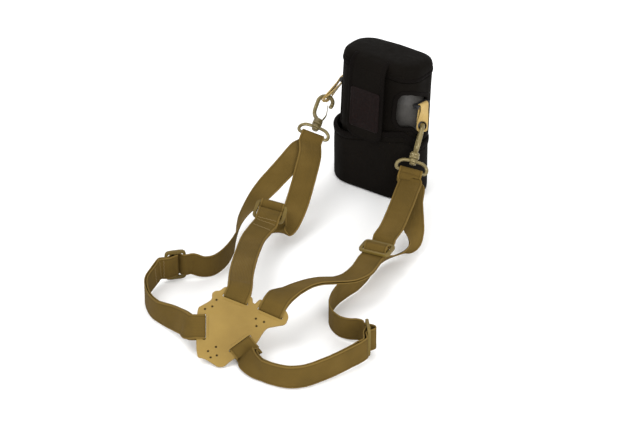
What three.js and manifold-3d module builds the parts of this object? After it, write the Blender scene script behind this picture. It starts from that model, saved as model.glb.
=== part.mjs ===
// Binocular chest harness: elastic webbing on a moulded back plate, four slide
// adjusters, two swivel snap hooks, two punched tabs, and a binocular standing
// in a soft cover.  Millimetres, +Z up.  The floor is z = 0.
import * as THREE from 'three';
import { mergeVertices } from 'three/addons/utils/BufferGeometryUtils.js';
import Module from 'manifold-3d';

const wasm = await Module();
wasm.setup();

// ---------------------------------------------------------------- dimensions
const WEB_W = 25.0;            // webbing width
const WEB_T = 1.4;             // webbing thickness
const STEP = 9;                // webbing step length
const PLATE_T = 2.4;           // back plate thickness
const PLATE_C = [-81.7, -260.3, 31.5];
const PLATE_TILT = 40;         // the plate leans back from the floor
const SLIDER_L = 22.6, SLIDER_W = 34, SLIDER_T = 3.0;
const SLIDER_OPEN_U = 8.3, SLIDER_OPEN_V = 13.3, SLIDER_BAR_R = 1.2;
const RING_R = 1.8;            // snap hook eye wire radius
const HOOK_LEN = 50;           // load point of the hook to the bar of the eye
const TAB_W = 12, TAB_T = 1.3;
const TAB_HOLE_R = 4.5;
const COVER_YAW = -35;         // cover turned on the floor
const COVER_C = [65.8, 70.6, 0];
const CUP_W = 110, CUP_D = 60, CUP_H = 64, WALL = 3.2;     // lower pocket
const BODY_W = 96, BODY_X = 1.5, BODY_D = 54.4, BODY_H = 142, BODY_R = 20;  // upper sleeve and its corner radius
const LEAN = 2.1;              // the binocular and sleeve lean a little to the right, degrees
const LID_TOP = 162;           // top of the lid
const WIN_Z = [63, 117], WIN_X = 33;                       // side windows
const CORNER_Z = [84, 129], CORNER_X = 28;                 // the right one runs on round the front corner
const FLAP_X = [-23, 17.5], FLAP_Z = 66, FLAP_Y = 31.9, FLAP_T = 3; // front flap
const BAR_X = 26;              // half the distance between the optical axes
const LUG_Z = 111.5, LUG_OUT = 24.9, LUG_ANG = 8;    // bar of the strap lug: height, distance from the optical axis

const root = new THREE.Group();

// ------------------------------------------------------------------- helpers
const V = (a) => new THREE.Vector3(...a);
function mat(color, roughness, metalness = 0) {
  return new THREE.MeshStandardMaterial({ color, roughness, metalness });
}
function toManifold(geo) {
  const g = geo.clone();
  g.deleteAttribute('normal'); g.deleteAttribute('uv');
  const m = mergeVertices(g, 1e-4);
  return new wasm.Manifold(new wasm.Mesh({
    numProp: 3,
    vertProperties: new Float32Array(m.attributes.position.array),
    triVerts: new Uint32Array(m.index.array),
  }));
}
function fromManifold(man) {
  const mesh = man.getMesh();
  const g = new THREE.BufferGeometry();
  const np = mesh.numProp, n = mesh.vertProperties.length / np;
  const p = new Float32Array(n * 3);
  for (let i = 0; i < n; i++) for (let k = 0; k < 3; k++) p[i * 3 + k] = mesh.vertProperties[i * np + k];
  g.setAttribute('position', new THREE.BufferAttribute(p, 3));
  g.setIndex(new THREE.BufferAttribute(new Uint32Array(mesh.triVerts), 1));
  g.computeVertexNormals();
  return g;
}
const cut = (a, ...bs) => { let m = toManifold(a); for (const b of bs) m = m.subtract(toManifold(b)); return fromManifold(m); };
const join = (a, ...bs) => { let m = toManifold(a); for (const b of bs) m = m.add(toManifold(b)); return fromManifold(m); };
function add(name, geo, material, parent = root) {
  const m = new THREE.Mesh(geo, material);
  m.name = name;
  parent.add(m);
  return m;
}
// A closed sweep: rings of equal point count, with flat ends (or closed on itself).
function loft(rings, loop = false) {
  const k = rings[0].length, n = rings.length, pos = [], idx = [];
  for (const r of rings) for (const p of r) pos.push(p.x, p.y, p.z);
  const last = loop ? n : n - 1;
  for (let i = 0; i < last; i++) {
    const a = i * k, b = ((i + 1) % n) * k;
    for (let j = 0; j < k; j++) {
      const j2 = (j + 1) % k;
      if (k === 4 && j === 2) idx.push(a + j, a + j2, b + j, a + j2, b + j2, b + j);   // faces of a twisted ribbon stay parallel
      else idx.push(a + j, a + j2, b + j2, a + j, b + j2, b + j);
    }
  }
  if (!loop) {
    for (let j = 1; j < k - 1; j++) { idx.push(0, j + 1, j); const e = (n - 1) * k; idx.push(e, e + j, e + j + 1); }
  }
  const g = new THREE.BufferGeometry();
  g.setAttribute('position', new THREE.Float32BufferAttribute(pos, 3));
  g.setIndex(idx);
  // faces must point out: flip when the signed volume is negative
  let vol = 0; const A = new THREE.Vector3(), B = new THREE.Vector3(), C = new THREE.Vector3();
  for (let i = 0; i < idx.length; i += 3) {
    A.fromArray(pos, idx[i] * 3); B.fromArray(pos, idx[i + 1] * 3); C.fromArray(pos, idx[i + 2] * 3);
    vol += A.dot(B.cross(C));
  }
  if (vol < 0) { for (let i = 0; i < idx.length; i += 3) { const t = idx[i]; idx[i] = idx[i + 1]; idx[i + 1] = t; } g.setIndex(idx); }
  g.computeVertexNormals();
  return g;
}
// Stations {p, w} -> evenly sampled frames {p, t, w, n}
function sample(st, step = STEP) {
  const P = st.map((s) => V(s.p)), W = st.map((s) => V(s.w).normalize());
  const cp = new THREE.CatmullRomCurve3(P, false, 'centripetal');
  const out = [], m = st.length - 1;
  for (let i = 0; i < m; i++) {
    const len = P[i].distanceTo(P[i + 1]);
    const k = Math.max(1, Math.round(len / step));
    for (let j = 0; j < k; j++) {
      const f = j / k, t = (i + f) / m;
      out.push({ p: cp.getPoint(t), w: W[i].clone().lerp(W[i + 1], f) });
    }
  }
  out.push({ p: P[m].clone(), w: W[m].clone() });
  for (let i = 0; i < out.length; i++) {
    const a = out[Math.max(0, i - 1)].p, b = out[Math.min(out.length - 1, i + 1)].p;
    const t = b.clone().sub(a).normalize();
    const w = out[i].w; w.addScaledVector(t, -w.dot(t)).normalize();
    out[i].t = t; out[i].n = t.clone().cross(w);
  }
  return out;
}
function ribbon(fr, width = WEB_W, thick = WEB_T) {
  return loft(fr.map((f) => [[-1, -1], [1, -1], [1, 1], [-1, 1]].map(([a, b]) =>
    f.p.clone().addScaledVector(f.w, a * width / 2).addScaledVector(f.n, b * thick / 2))));
}
// Round bar along points, frames carried along the path
function wire(pts, r, sides = 8, loop = false, flat = 1) {
  const P = pts.map((p) => (p.isVector3 ? p.clone() : V(p))), n = P.length, rings = [];
  let ref = null;
  for (let i = 0; i < n; i++) {
    const a = loop ? P[(i - 1 + n) % n] : P[Math.max(0, i - 1)], b = loop ? P[(i + 1) % n] : P[Math.min(n - 1, i + 1)];
    const t = b.clone().sub(a).normalize();
    if (!ref) { ref = Math.abs(t.z) < 0.8 ? new THREE.Vector3(0, 0, 1) : new THREE.Vector3(1, 0, 0); }
    if (pts.ref) ref = pts.ref.clone();
    const u = ref.clone().addScaledVector(t, -ref.dot(t)).normalize();
    if (!pts.ref) ref = u.clone();
    const v = t.clone().cross(u);
    rings.push([...Array(sides)].map((_, k) => {
      const q = (k + 0.5) / sides * 2 * Math.PI;
      return P[i].clone().addScaledVector(u, Math.cos(q) * r * flat).addScaledVector(v, Math.sin(q) * r);
    }));
  }
  return loft(rings, loop);
}
// Cylinder from a to b
const rod = (a, b, r, sides = 16) => wire([a, b], r, sides);
function lathe(profile, seg = 28) {           // [[r, z], ...] about +Z
  const g = new THREE.LatheGeometry(profile.map(([r, z]) => new THREE.Vector2(r, z)), seg);
  g.rotateX(Math.PI / 2);
  return g;
}
const tubeProfile = (ro, ri) => [...ro, ...ri.slice().reverse(), ro[0]];
function boxAt(x0, x1, y0, y1, z0, z1) {
  const g = new THREE.BoxGeometry(x1 - x0, y1 - y0, z1 - z0);
  g.translate((x0 + x1) / 2, (y0 + y1) / 2, (z0 + z1) / 2);
  return g;
}

// ---------------------------------------------------------------- materials
const WEBBING = mat(0x7a6034, 0.85), PLATE = mat(0xb2935a, 0.55), PLASTIC = mat(0x85703f, 0.5);
const METAL = mat(0x8a7a4b, 0.45, 0.6), TAB = mat(0xc9a861, 0.6), NEO = mat(0x1b1917, 0.9);
const PATCH = mat(0x140807, 0.7), RUBBER = mat(0x46444a, 0.7), DARK = mat(0x1c1c1f, 0.6);
const GLASS = mat(0x6b7f88, 0.05), SPRING = mat(0x8a8474, 0.35, 0.9);

// --------------------------------------------------------------- back plate
const tilt = PLATE_TILT * Math.PI / 180;
const E1 = new THREE.Vector3(1, 0, 0), E2 = new THREE.Vector3(0, Math.cos(tilt), Math.sin(tilt));
const EN = new THREE.Vector3(0, -Math.sin(tilt), Math.cos(tilt));
const plateP = (u, v, n = 0) => V(PLATE_C).addScaledVector(E1, u).addScaledVector(E2, v).addScaledVector(EN, n);
const plateD = (u, v) => new THREE.Vector3().addScaledVector(E1, u).addScaledVector(E2, v).normalize();
const OUTLINE = [[-39.8, 14], [-31.6, 18.4], [-25, 22.7], [-25, 29.2], [-21.4, 31.9], [-17.3, 31.8], [-11.4, 36.6], [2, 31.4],
  [12.5, 27], [15.2, 24], [14.6, 18.6], [17, 16.2], [19.2, 20.8], [22.6, 23.2], [34, 18.2], [48.5, 11.3], [51, 5], [48, -3.2], [38, -5], [30, -6.5], [26, -11], [22.4, -17.3], [19.4, -22.7],
  [7.8, -30.8], [-2.6, -38], [-7.1, -41.2], [-12.2, -45.9], [-18.4, -46.4], [-24.5, -42.1], [-31.6, -37.8], [-39.8, -36.2]];
const SLOT_IN = 3.6, SLOT_LEN = 26.4;
const SLOTS = {               // middle of the inner edge, outward direction
  W: { m: [-29.6, -5.5], o: [-1, 0], s: [0, 1] },
  N: { m: [-2.65, 20.5], o: [0.372, 0.928], s: [0.928, -0.372] },
  E: { m: [31.5, 6.5], o: [0.419, 0.908], s: [0.908, -0.419] },
  S: { m: [1.8, -20.8], o: [0.607, -0.795], s: [0.795, 0.607] },
};
{
  const sh = new THREE.Shape(OUTLINE.map(([x, y]) => new THREE.Vector2(x, y)));
  const base = new THREE.ExtrudeGeometry(sh, { depth: PLATE_T, bevelEnabled: false });
  base.translate(0, 0, -PLATE_T / 2);
  const tools = Object.keys(SLOTS).map((k) => {
    const { m, o } = SLOTS[k], t = new THREE.BoxGeometry(SLOT_IN, SLOT_LEN, 6);
    t.translate(SLOT_IN / 2, 0, 0); t.rotateZ(Math.atan2(o[1], o[0])); t.translate(m[0], m[1], 0);
    return t;
  });
  for (const [x, y] of [[-20.4, -25.9], [-28.1, -30.2], [-19.4, -34.6], [-25.5, -36.6], [18.5, 3], [19.2, -4.6], [26.6, -0.4], [-24.5, 15.6], [-31.6, 13], [-20.4, 22.4]]) tools.push(rod([x, y, -3], [x, y, 3], 1.1, 8));
  const g = cut(base, ...tools);
  const pg = new THREE.Group();
  pg.position.set(...PLATE_C);
  pg.rotation.x = tilt;
  root.add(pg);
  add('back_plate', g, PLATE, pg);
}
// Webbing through a plate slot, from the slot outward: top layer and under layer
function slotPath(k, pairs) {
  const { m, o, s } = SLOTS[k];
  return pairs.map(([q, n, e = 0]) => ({ p: plateP(m[0] + o[0] * q + s[0] * e, m[1] + o[1] * q + s[1] * e, n).toArray(), w: plateD(s[0], s[1]).toArray() }));
}
const TOP_PAIRS = [[1.8, -1.85], [1.8, 0.3], [2.3, 1.75], [4.2, 2.45], [9, 2.5]];
const UNDER_PAIRS = [[1.8, -2.2], [2.0, -2.9], [2.9, -3.5], [5, -3.3], [9, -3]];
const barEnd = (k, n) => slotPath(k, [[k === 'S' ? 14.8 : k === 'W' ? 11.6 : 13, n]]);

// ------------------------------------------------------------- adjusters
// u runs along the webbing from the plate end, v across it, n = side of the running layer's crest
const SL = {
  1: { o: [-148.2, -133.5, 18.5], u: [0.97, 0.24, 0], v: [0, 0, 1] },
  2: { o: [-52.1, -64.5, 40], u: [0.262, 0.88, 0.40], v: [0.963, -0.2, -0.19] },
  3: { o: [58.2, -130.5, 36.5], u: [0.41, 0.912, 0], v: [0.912, -0.41, 0] },
  4: { o: [47.0, -268.5, 18.5], u: [-0.1, 0.995, 0], v: [0, 0, 1] },
};
const SGN = { 1: -1, 2: 1, 3: -1, 4: 1 };      // running layer = sgn * (u x v)
for (const k of [1, 2, 3, 4]) {
  const s = SL[k];
  s.O = V(s.o); s.U = V(s.u).normalize(); s.V = V(s.v);
  s.V.addScaledVector(s.U, -s.V.dot(s.U)).normalize();
  s.N = s.U.clone().cross(s.V).multiplyScalar(SGN[k]);
}
const slP = (s, u, n, v = 0) => s.O.clone().addScaledVector(s.U, u).addScaledVector(s.N, n).addScaledVector(s.V, v);
const slPath = (s, pairs) => pairs.map(([u, n]) => ({ p: slP(s, u, n).toArray(), w: s.V.toArray() }));
const CREST = { 1: 0, 2: 0, 3: 0.6, 4: 3.4 };   // slack of the running layer over the bar
const runPairs = (k) => [[-17, -2.4], [-11.6, -2.8], [-8.4, -2.75], [-6, -0.6], [-4.2, 2.6 + CREST[k] * 0.6], [-1.8, 4.25 + CREST[k]], [1.8, 4.25 + CREST[k]], [4.3, 2.6 + CREST[k] * 0.6], [6.3, -0.6], [8.7, -2.75], [11.6, -2.8], ...(k === 2 || k === 4 ? [] : [[17, -2.2]])];
const SEWN_PAIRS = [[-17, -4.9], [-11, -5.2], [-6.8, -5.1], [-3.4, -3.6], [-0.6, -2.45], [1.8, -1.75], [2.7, 0], [1.8, 1.75], [0, 2.4], [-1.5, 2.4]];
for (const k of [1, 2, 3, 4]) {
  const s = SL[k], a = SLIDER_L / 2, b = SLIDER_W / 2, c = 3.2;
  const sh = new THREE.Shape([[-a, -b + c], [-a + c, -b], [a - c, -b], [a, -b + c], [a, b - c], [a - c, b], [-a + c, b], [-a, b - c]].map(([x, y]) => new THREE.Vector2(x, y)));
  sh.holes.push(new THREE.Path([[-SLIDER_OPEN_U, -SLIDER_OPEN_V], [SLIDER_OPEN_U, -SLIDER_OPEN_V], [SLIDER_OPEN_U, SLIDER_OPEN_V], [-SLIDER_OPEN_U, SLIDER_OPEN_V]].map(([x, y]) => new THREE.Vector2(x, y))));
  const g = new THREE.ExtrudeGeometry(sh, { depth: SLIDER_T, bevelEnabled: false });
  g.translate(0, 0, -SLIDER_T / 2);
  const g2 = join(g, rod([0, -SLIDER_OPEN_V - 0.8, 0], [0, SLIDER_OPEN_V + 0.8, 0], SLIDER_BAR_R, 8));
  const m = new THREE.Matrix4().makeBasis(s.U, s.V, s.U.clone().cross(s.V));
  g2.applyMatrix4(m); g2.translate(s.O.x, s.O.y, s.O.z);
  add(['', 'adjuster_left_lower', 'adjuster_left_upper', 'adjuster_right_upper', 'adjuster_right_lower'][k], g2, PLASTIC);
}

// ---------------------------------------------------- hooks: shared frames
const HK = {
  left: { load: [7.6, 95, 88], a: [0.312, 0.827, 0.463], bar: [0.93, -0.2, -0.31], nose: [0.95, -0.272, -0.152] },
  right: { load: [108.4, 33.8, 86.6], a: [0.245, 0.654, 0.716], bar: [0.97, -0.1, -0.2], nose: [-0.12, 0.75, -0.65] },
};
for (const k of ['left', 'right']) {
  const h = HK[k];
  h.A = V(h.a).normalize(); h.L = V(h.load);
  h.B = V(h.bar); h.B.addScaledVector(h.A, -h.B.dot(h.A)).normalize();
  h.X = V(h.nose); h.X.addScaledVector(h.A, -h.X.dot(h.A)).normalize();    // towards the nose
  h.Y = h.A.clone().cross(h.X);                                           // across the hook
  h.M = h.A.clone().cross(h.B);                                           // through the eye
  h.C = h.L.clone().addScaledVector(h.A, -HOOK_LEN);                      // middle of the eye's bar
}
// Bight of webbing around the bar of the eye (strand 1 on side -M, strand 2 on +M)
function bight(h, flip) {
  const r = RING_R + 0.45 + WEB_T / 2, f = flip;
  return [[9, -r], [4, -r], [0, -r], [-0.72 * r, -0.72 * r], [-r, 0], [-0.72 * r, 0.72 * r], [0, r], [4, r], [9, r]].map(([q, m]) => ({
    p: h.C.clone().addScaledVector(h.A, -q).addScaledVector(h.M, m * f).toArray(), w: h.B.toArray(),
  }));
}

// ------------------------------------------------------------------ webbing
const Z = [0, 0, 1];
const st = (p, w) => ({ p, w });
// mid lines of the doubled runs, plate end to adjuster
const MID = {
  1: [st([-134, -252, 24.5], [0, 0.6, 0.8]), st([-147.6, -232.5, 19], [0.1, 0.3, 0.95]), st([-160.2, -219, 16], Z), st([-169.4, -205, 15], Z),
    st([-175, -187, 15], Z), st([-175.7, -170.5, 15.5], Z), st([-171, -156.5, 16.5], Z)],
  2: [st([-79, -228, 53.5], [0.94, -0.26, -0.2]), st([-78.6, -205, 51], [0.97, -0.2, -0.1]), st([-76.5, -175, 47], [0.98, -0.2, 0]), st([-72.5, -140, 42], [0.98, -0.2, 0]), st([-67.5, -109, 37], [0.97, -0.2, -0.1])],
  3: [st([-40.5, -236, 43.5], [0.86, -0.45, -0.2]), st([-28, -220, 42], [0.66, -0.72, 0.2]), st([-14, -206.5, 41], [0.44, -0.84, 0.3]), st([1, -198.5, 40], [0.2, -0.92, 0.33]), st([16, -196, 39], [0.1, -0.93, 0.35]), st([29.5, -190, 38], [0.45, -0.85, 0.2]), st([40.5, -177, 37], [0.8, -0.6, 0.05])],
  4: [st([-70.5, -295, 12.5], [0.6, 0.3, 0.74]), st([-65, -308, 13.5], [0.3, 0.2, 0.93]), st([-55.5, -319, 14], Z), st([-43.5, -326.5, 14], Z), st([-29, -331, 14], Z), st([-14.5, -328.5, 14], Z), st([0, -320, 14], Z),
    st([14.6, -310, 14.5], Z), st([29.3, -298.5, 15.5], Z), st([40, -289.5, 16.5], Z)],
};
function offsetRun(k, sign) {   // both layers share the frames of one mid line
  const q = k === 4 ? 14 : 13;
  const fr = sample([...slotPath(SLOT_OF[k], [[q - 4, -0.2], [q, -0.2], ...(LEAD[k] || [])]), ...MID[k], ...slPath(SL[k], [[-16, -3.7], [-12, -3.95]])]).slice(2, -2);
  return fr.map((f, i) => {
    const d = 1.1 + (k === 4 ? 2.5 : 1.4) * Math.exp((k === 4 ? -0.45 : -1.1) * i) + (k === 4 ? 0.7 : 0.12) * Math.exp(-0.8 * (fr.length - 1 - i));
    return { p: f.p.clone().addScaledVector(f.n, sign * SGN[k] * d).toArray(), w: f.w.toArray() };
  });
}
const LEAD = { 1: [[17.5, -4.4, 1.4]], 4: [[18.5, 2.6, -0.3]] };      // webbing leaves these bars square to the slot
const SLOT_OF = { 1: 'W', 2: 'N', 3: 'E', 4: 'S' };
const runIsTop = { 1: true, 2: false, 3: true, 4: true };
const runStart = (k) => [...slotPath(SLOT_OF[k], runIsTop[k] ? TOP_PAIRS : UNDER_PAIRS), ...barEnd(SLOT_OF[k], runIsTop[k] ? 2.5 : -2.9), ...offsetRun(k, 1), ...slPath(SL[k], runPairs(k))];
const sewn = (k) => [...slotPath(SLOT_OF[k], runIsTop[k] ? UNDER_PAIRS : TOP_PAIRS), ...barEnd(SLOT_OF[k], runIsTop[k] ? -2.9 : 2.5), ...offsetRun(k, -1), ...slPath(SL[k], SEWN_PAIRS)];
const rev = (a) => a.slice().reverse();

const LEFT_A = [st([-121, -131.5, 15], Z), st([-111, -128.5, 14], Z), st([-103.1, -119.8, 13.8], Z), st([-95.2, -105, 14], Z), st([-89, -85, 15], [0.1, 0, 1]),
  st([-84.5, -62, 19], [0.35, -0.05, 0.9]), st([-77.5, -41, 26], [0.7, -0.2, 0.6]), st([-66, -27, 35], [0.85, -0.3, 0.2]), st([-54, -14, 43.5], [0.92, -0.3, -0.1]), st([-36, 7.9, 53.5], [0.93, -0.25, -0.25]), st([-20, 34.4, 59.5], [0.93, -0.2, -0.31])];
const LEFT_B = [st([-10.5, 22.6, 59.6], [0.93, -0.2, -0.31]), st([-14.5, 1.4, 52], [0.94, -0.2, -0.28]), st([-20, -20, 40.5], [0.94, -0.25, -0.2]), st([-26.5, -40, 28.5], [0.93, -0.3, -0.18]), st([-34, -54, 18.5], [0.94, -0.3, -0.1]),
  st([-41, -62, 14.5], [0.95, -0.3, -0.05]), st([-45.5, -66, 17], [0.96, -0.25, -0.05]), st([-47, -63, 21], [0.96, -0.22, -0.1]), st([-47.5, -55.5, 25.5], [0.963, -0.2, -0.15]), st([-47.5, -48.5, 31.5], [0.963, -0.2, -0.19]), st([-47.6, -45.5, 38.5], [0.963, -0.2, -0.19])];
const RIGHT_A = [st([66.5, -111.5, 37.3], [0.93, -0.36, -0.05]), st([74, -94, 39], [0.95, -0.3, -0.1]), st([84, -60, 43], [0.97, -0.22, -0.15]), st([91, -32, 45.5], [0.97, -0.12, -0.19]), st([95.5, -8, 45.5], [0.97, -0.1, -0.2])];
const RIGHT_B = [st([98.4, -13.5, 40.7], [0.97, -0.1, -0.2]), st([96.4, -34.3, 35.8], [0.98, -0.1, -0.18]), st([96.5, -55, 30.5], [0.98, -0.1, -0.15]), st([97.3, -72, 25], [0.93, 0.1, -0.35]), st([96.5, -85, 19.5], [0.7, 0.45, -0.55]),
  st([91, -96, 15], [0.25, 0.85, -0.46]), st([82, -103, 12.5], [0, 0.87, -0.48]), st([71, -111, 12], [-0.1, 0.83, -0.55]), st([60, -124, 13], [-0.2, 0.5, -0.84]), st([50, -140, 13.6], [-0.1, 0.2, -0.97]), st([38.5, -156, 13.6], [0, 0, -1]), st([27, -169.5, 13.6], [0, 0, -1]),
  st([17.2, -184, 13.6], [0, 0, -1]), st([11, -201, 13.6], [0, 0, -1]), st([9.2, -217, 13.6], [0, 0, -1]), st([13, -232, 13.8], [0, 0, -1]), st([21, -243.5, 14.5], [0, 0, -1]), st([30, -249.5, 16], [0, 0, -1]), st([38, -253, 17.8], [0, 0, -1])];
const neg = (a) => a.map(({ p, w }) => ({ p, w: w.map((x) => -x) }));

{
  const L = HK.left, R = HK.right;
  const left = [...runStart(1), ...LEFT_A, ...bight(L, SIDE('left')), ...LEFT_B, ...rev(runStart(2))];
  const right = [...runStart(3), ...RIGHT_A, ...bight(R, SIDE('right')), ...RIGHT_B, ...neg(rev(runStart(4)))];
  add('webbing_left', ribbon(sample(left)), WEBBING);
  add('webbing_right', ribbon(sample(right)), WEBBING);
  for (const k of [1, 2, 3, 4]) add(['', 'sewn_end_left_lower', 'sewn_end_left_upper', 'sewn_end_right_upper', 'sewn_end_right_lower'][k], ribbon(sample(sewn(k))), WEBBING);
}
function SIDE(k) { return k === 'left' ? -1 : 1; }

// ------------------------------------------------- hooks, eyes, gates and pins
// Each is built with x towards the nose, y across and z along the hook, the
// load point at the origin, and then stood in place.
const BAR = 2.2;                       // hook bar radius
const ARCH = 8;                        // arch radius of the hook
const EYE_TOP = -HOOK_LEN + 11.5;      // centre of the eye's boss
const arcPoints = [...Array(9)].map((_, i) => { const q = Math.PI - i / 8 * Math.PI; return [ARCH * Math.cos(q), 0, BAR - ARCH + ARCH * Math.sin(q)]; });
function hookArc() { const p = [[-7.9, 0, -12], ...arcPoints, [7.9, 0, -8.2], [7.2, 0, -12]].map((a) => V(a)); p.ref = new THREE.Vector3(0, 1, 0); return wire(p, BAR + 0.5, 8, false, 1.1); }
function stand(geo, h, x, y) {
  const m = new THREE.Matrix4().makeBasis(x, y, h.A);
  m.setPosition(h.L);
  return geo.applyMatrix4(m);
}
for (const k of ['left', 'right']) {
  const h = HK[k], BX = h.B, BY = h.A.clone().cross(h.B);
  // eye: bent wire with a bored boss
  const z0 = -HOOK_LEN, zt = EYE_TOP;
  const half = [[0, z0], [9, z0], [13.6, z0], [15.6, z0 + 0.9], [16.5, z0 + 3], [16.2, z0 + 5.6], [14.3, z0 + 8.4], [10.5, zt - 0.9], [5, zt - 0.1], [0, zt]];
  const loopPts = [...half.map(([x, z]) => [x, 0, z]), ...half.slice(1, -1).reverse().map(([x, z]) => [-x, 0, z])];
  let eye = wire(loopPts, RING_R, 8, true);
  eye = join(eye, rod([0, 0, zt - 2], [0, 0, zt + 2], 4.4, 16));
  eye = cut(eye, rod([0, 0, zt - 4], [0, 0, zt + 4], 2.5, 16));
  add('swivel_eye_' + k, stand(eye, h, BX, BY), METAL);
  // hook
  const base0 = zt + 2.4, base1 = base0 + 7.5;
  const arc = arcPoints;
  const J = [[0, 0, base1 - 3], [-2.2, 0, base1 + 0.2], [-4.8, 0, base1 + 2.6], [-6.8, 0, base1 + 6], [-7.8, 0, base1 + 11], ...arc, [7.9, 0, -8.2], [7.2, 0, -11.4]];
  const Jv = J.map((p) => V(p)); Jv.ref = new THREE.Vector3(0, 1, 0);
  let hook = wire(Jv, BAR, 8, false, 1.15);
  hook = join(hook, lathe([[0, base0], [5.2, base0], [5.4, base0 + 1], [5.2, base1 - 1.6], [3.6, base1], [0, base1]], 20));
  hook = cut(hook, rod([0, 0, base0 - 2], [0, 0, base0 + 4.6], 2.4, 16), boxAt(1.4, 9, -2.5, 2.5, base1 - 3.4, base1 + 2));
  add('hook_' + k, stand(hook, h, h.X, h.Y), METAL);
  // swivel pin, headed inside the eye
  add('swivel_pin_' + k, stand(lathe([[0, zt - 4.4], [3.3, zt - 4.4], [3.7, zt - 3.2], [3.5, zt - 2.3], [2.1, zt - 2.3], [2.1, base0 + 4.2], [0, base0 + 4.2]], 16), h, h.X, h.Y), METAL);
  // gate: bowed leaf with a rolled foot in the groove of the base
  const leaf = [[3.6, base1 - 1.6], [4.6, base1 + 1.6], [5.9, base1 + 6], [5.8, base1 + 10], [4.9, -13.5], [3.9, -9.2]];
  const fr = sample(leaf.map(([x, z]) => st([x, 0, z], [0, 1, 0])), 5);
  let gate = ribbon(fr, 4.2, 0.9);
  gate = join(gate, rod([3.4, -2.1, base1 - 1.9], [3.4, 2.1, base1 - 1.9], 1.25, 10));
  add('gate_' + k, stand(gate, h, h.X, h.Y), SPRING);
  h.gatePivot = h.L.clone().addScaledVector(h.X, 3.4).addScaledVector(h.A, base1 - 1.9);
}

// ------------------------------------------------------- cover and binocular
const yaw = COVER_YAW * Math.PI / 180;
const cover = new THREE.Group();
cover.position.set(...COVER_C);
cover.rotation.z = yaw;
root.add(cover);
const upper = new THREE.Group();        // leans towards world +X about the middle of the base
upper.quaternion.setFromAxisAngle(new THREE.Vector3(0, 1, 0).applyAxisAngle(new THREE.Vector3(0, 0, 1), -yaw), LEAN * Math.PI / 180);
upper.position.z = 1;
upper.updateMatrix();
cover.add(upper);
const leaned = (g) => g.applyMatrix4(upper.matrix);
const cw = (x, y, z) => new THREE.Vector3(x, y, z).applyMatrix4(upper.matrix).applyAxisAngle(new THREE.Vector3(0, 0, 1), yaw).add(V(COVER_C));
const cdir = (v) => v.clone().applyQuaternion(upper.quaternion).applyAxisAngle(new THREE.Vector3(0, 0, 1), yaw);
function outline(w, d, r = d / 2, seg = 5) {
  const p = [];
  for (const [cx, cy, q0] of [[1, -1, -0.5], [1, 1, 0], [-1, 1, 0.5], [-1, -1, 1]])
    for (let i = 0; i <= seg; i++) { const q = (q0 + 0.5 * i / seg) * Math.PI; p.push([cx * (w / 2 - r) + r * Math.cos(q), cy * (d / 2 - r) + r * Math.sin(q)]); }
  return p.filter(([x, y], i) => i === 0 || Math.hypot(x - p[i - 1][0], y - p[i - 1][1]) > 1e-4);
}
function stadium(w, d, z0, z1, r) {
  const g = new THREE.ExtrudeGeometry(new THREE.Shape(outline(w, d, r).map(([x, y]) => new THREE.Vector2(x, y))), { depth: z1 - z0, bevelEnabled: false });
  g.translate(0, 0, z0);
  return g;
}
const lidSag = (x, y) => 4 * Math.max(0, -x / 50) + 3.5 * Math.max(0, y / 27);
const sleeve = (g) => g.translate(BODY_X, 0, 0);
{
  let body = join(stadium(CUP_W - 3, CUP_D - 3, 0, 3), stadium(CUP_W, CUP_D, 2, CUP_H), leaned(sleeve(stadium(BODY_W, BODY_D, CUP_H - 5, BODY_H, BODY_R))));
  body = cut(body, stadium(CUP_W - 2 * WALL, CUP_D - 2 * WALL, 4, CUP_H - 3.2), leaned(sleeve(stadium(BODY_W - 2 * WALL, BODY_D - 2 * WALL, CUP_H - 7, BODY_H + 1, BODY_R - WALL))),
    ...[-BAR_X, BAR_X].map((x) => leaned(rod([x, 0, 50], [x, 0, WIN_Z[0] + 3], 20.5, 28))),
    leaned(boxAt(WIN_X, 80, -19, 60, WIN_Z[0] + 1.5, WIN_Z[1])), leaned(boxAt(-80, -WIN_X, -19, 60, WIN_Z[0] + 1.5, WIN_Z[1])),
    leaned(boxAt(CORNER_X, 80, -60, -12, CORNER_Z[0], CORNER_Z[1])));
  add('cover_body', body, NEO, cover);
  // lid: a soft cap with its front flap
  const cap = (drop, grow) => loft([[0, 0], [0, 8], [0.5, 12], [2, 15], [5, 17], [9, 18], [15, 18.3]].map(([inset, z]) =>
    outline(BODY_W - 2 * (inset + grow), BODY_D - 2 * (inset + grow), Math.max(4, BODY_R - grow - inset * 0.9)).map(([x, y]) => new THREE.Vector3(x, y, BODY_H + 0.3 + z - drop - lidSag(x, y) * Math.max(0, z - 7) / 11))));
  let lid = sleeve(cut(cap(0, 0), cap(4, WALL)));
  lid = join(lid, boxAt(...FLAP_X, -FLAP_Y - FLAP_T, -FLAP_Y, FLAP_Z, BODY_H + 9), boxAt(...FLAP_X, -FLAP_Y - FLAP_T, -BODY_D / 2 + 2.4, BODY_H + 1.2, BODY_H + 9));
  add('cover_lid', lid, NEO, upper);
  add('flap_patch', boxAt(-21.5, 16, -FLAP_Y - FLAP_T - 1.5, -FLAP_Y - FLAP_T - 0.3, 76, 124), PATCH, upper);
  add('body_patch', boxAt(-20, 15, -BODY_D / 2 - 1.1, -BODY_D / 2 - 0.3, 80, 120), PATCH, upper);
}
const KN1 = [80, 90.5], KN2 = [91, 101];      // hinge knuckle heights
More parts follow.
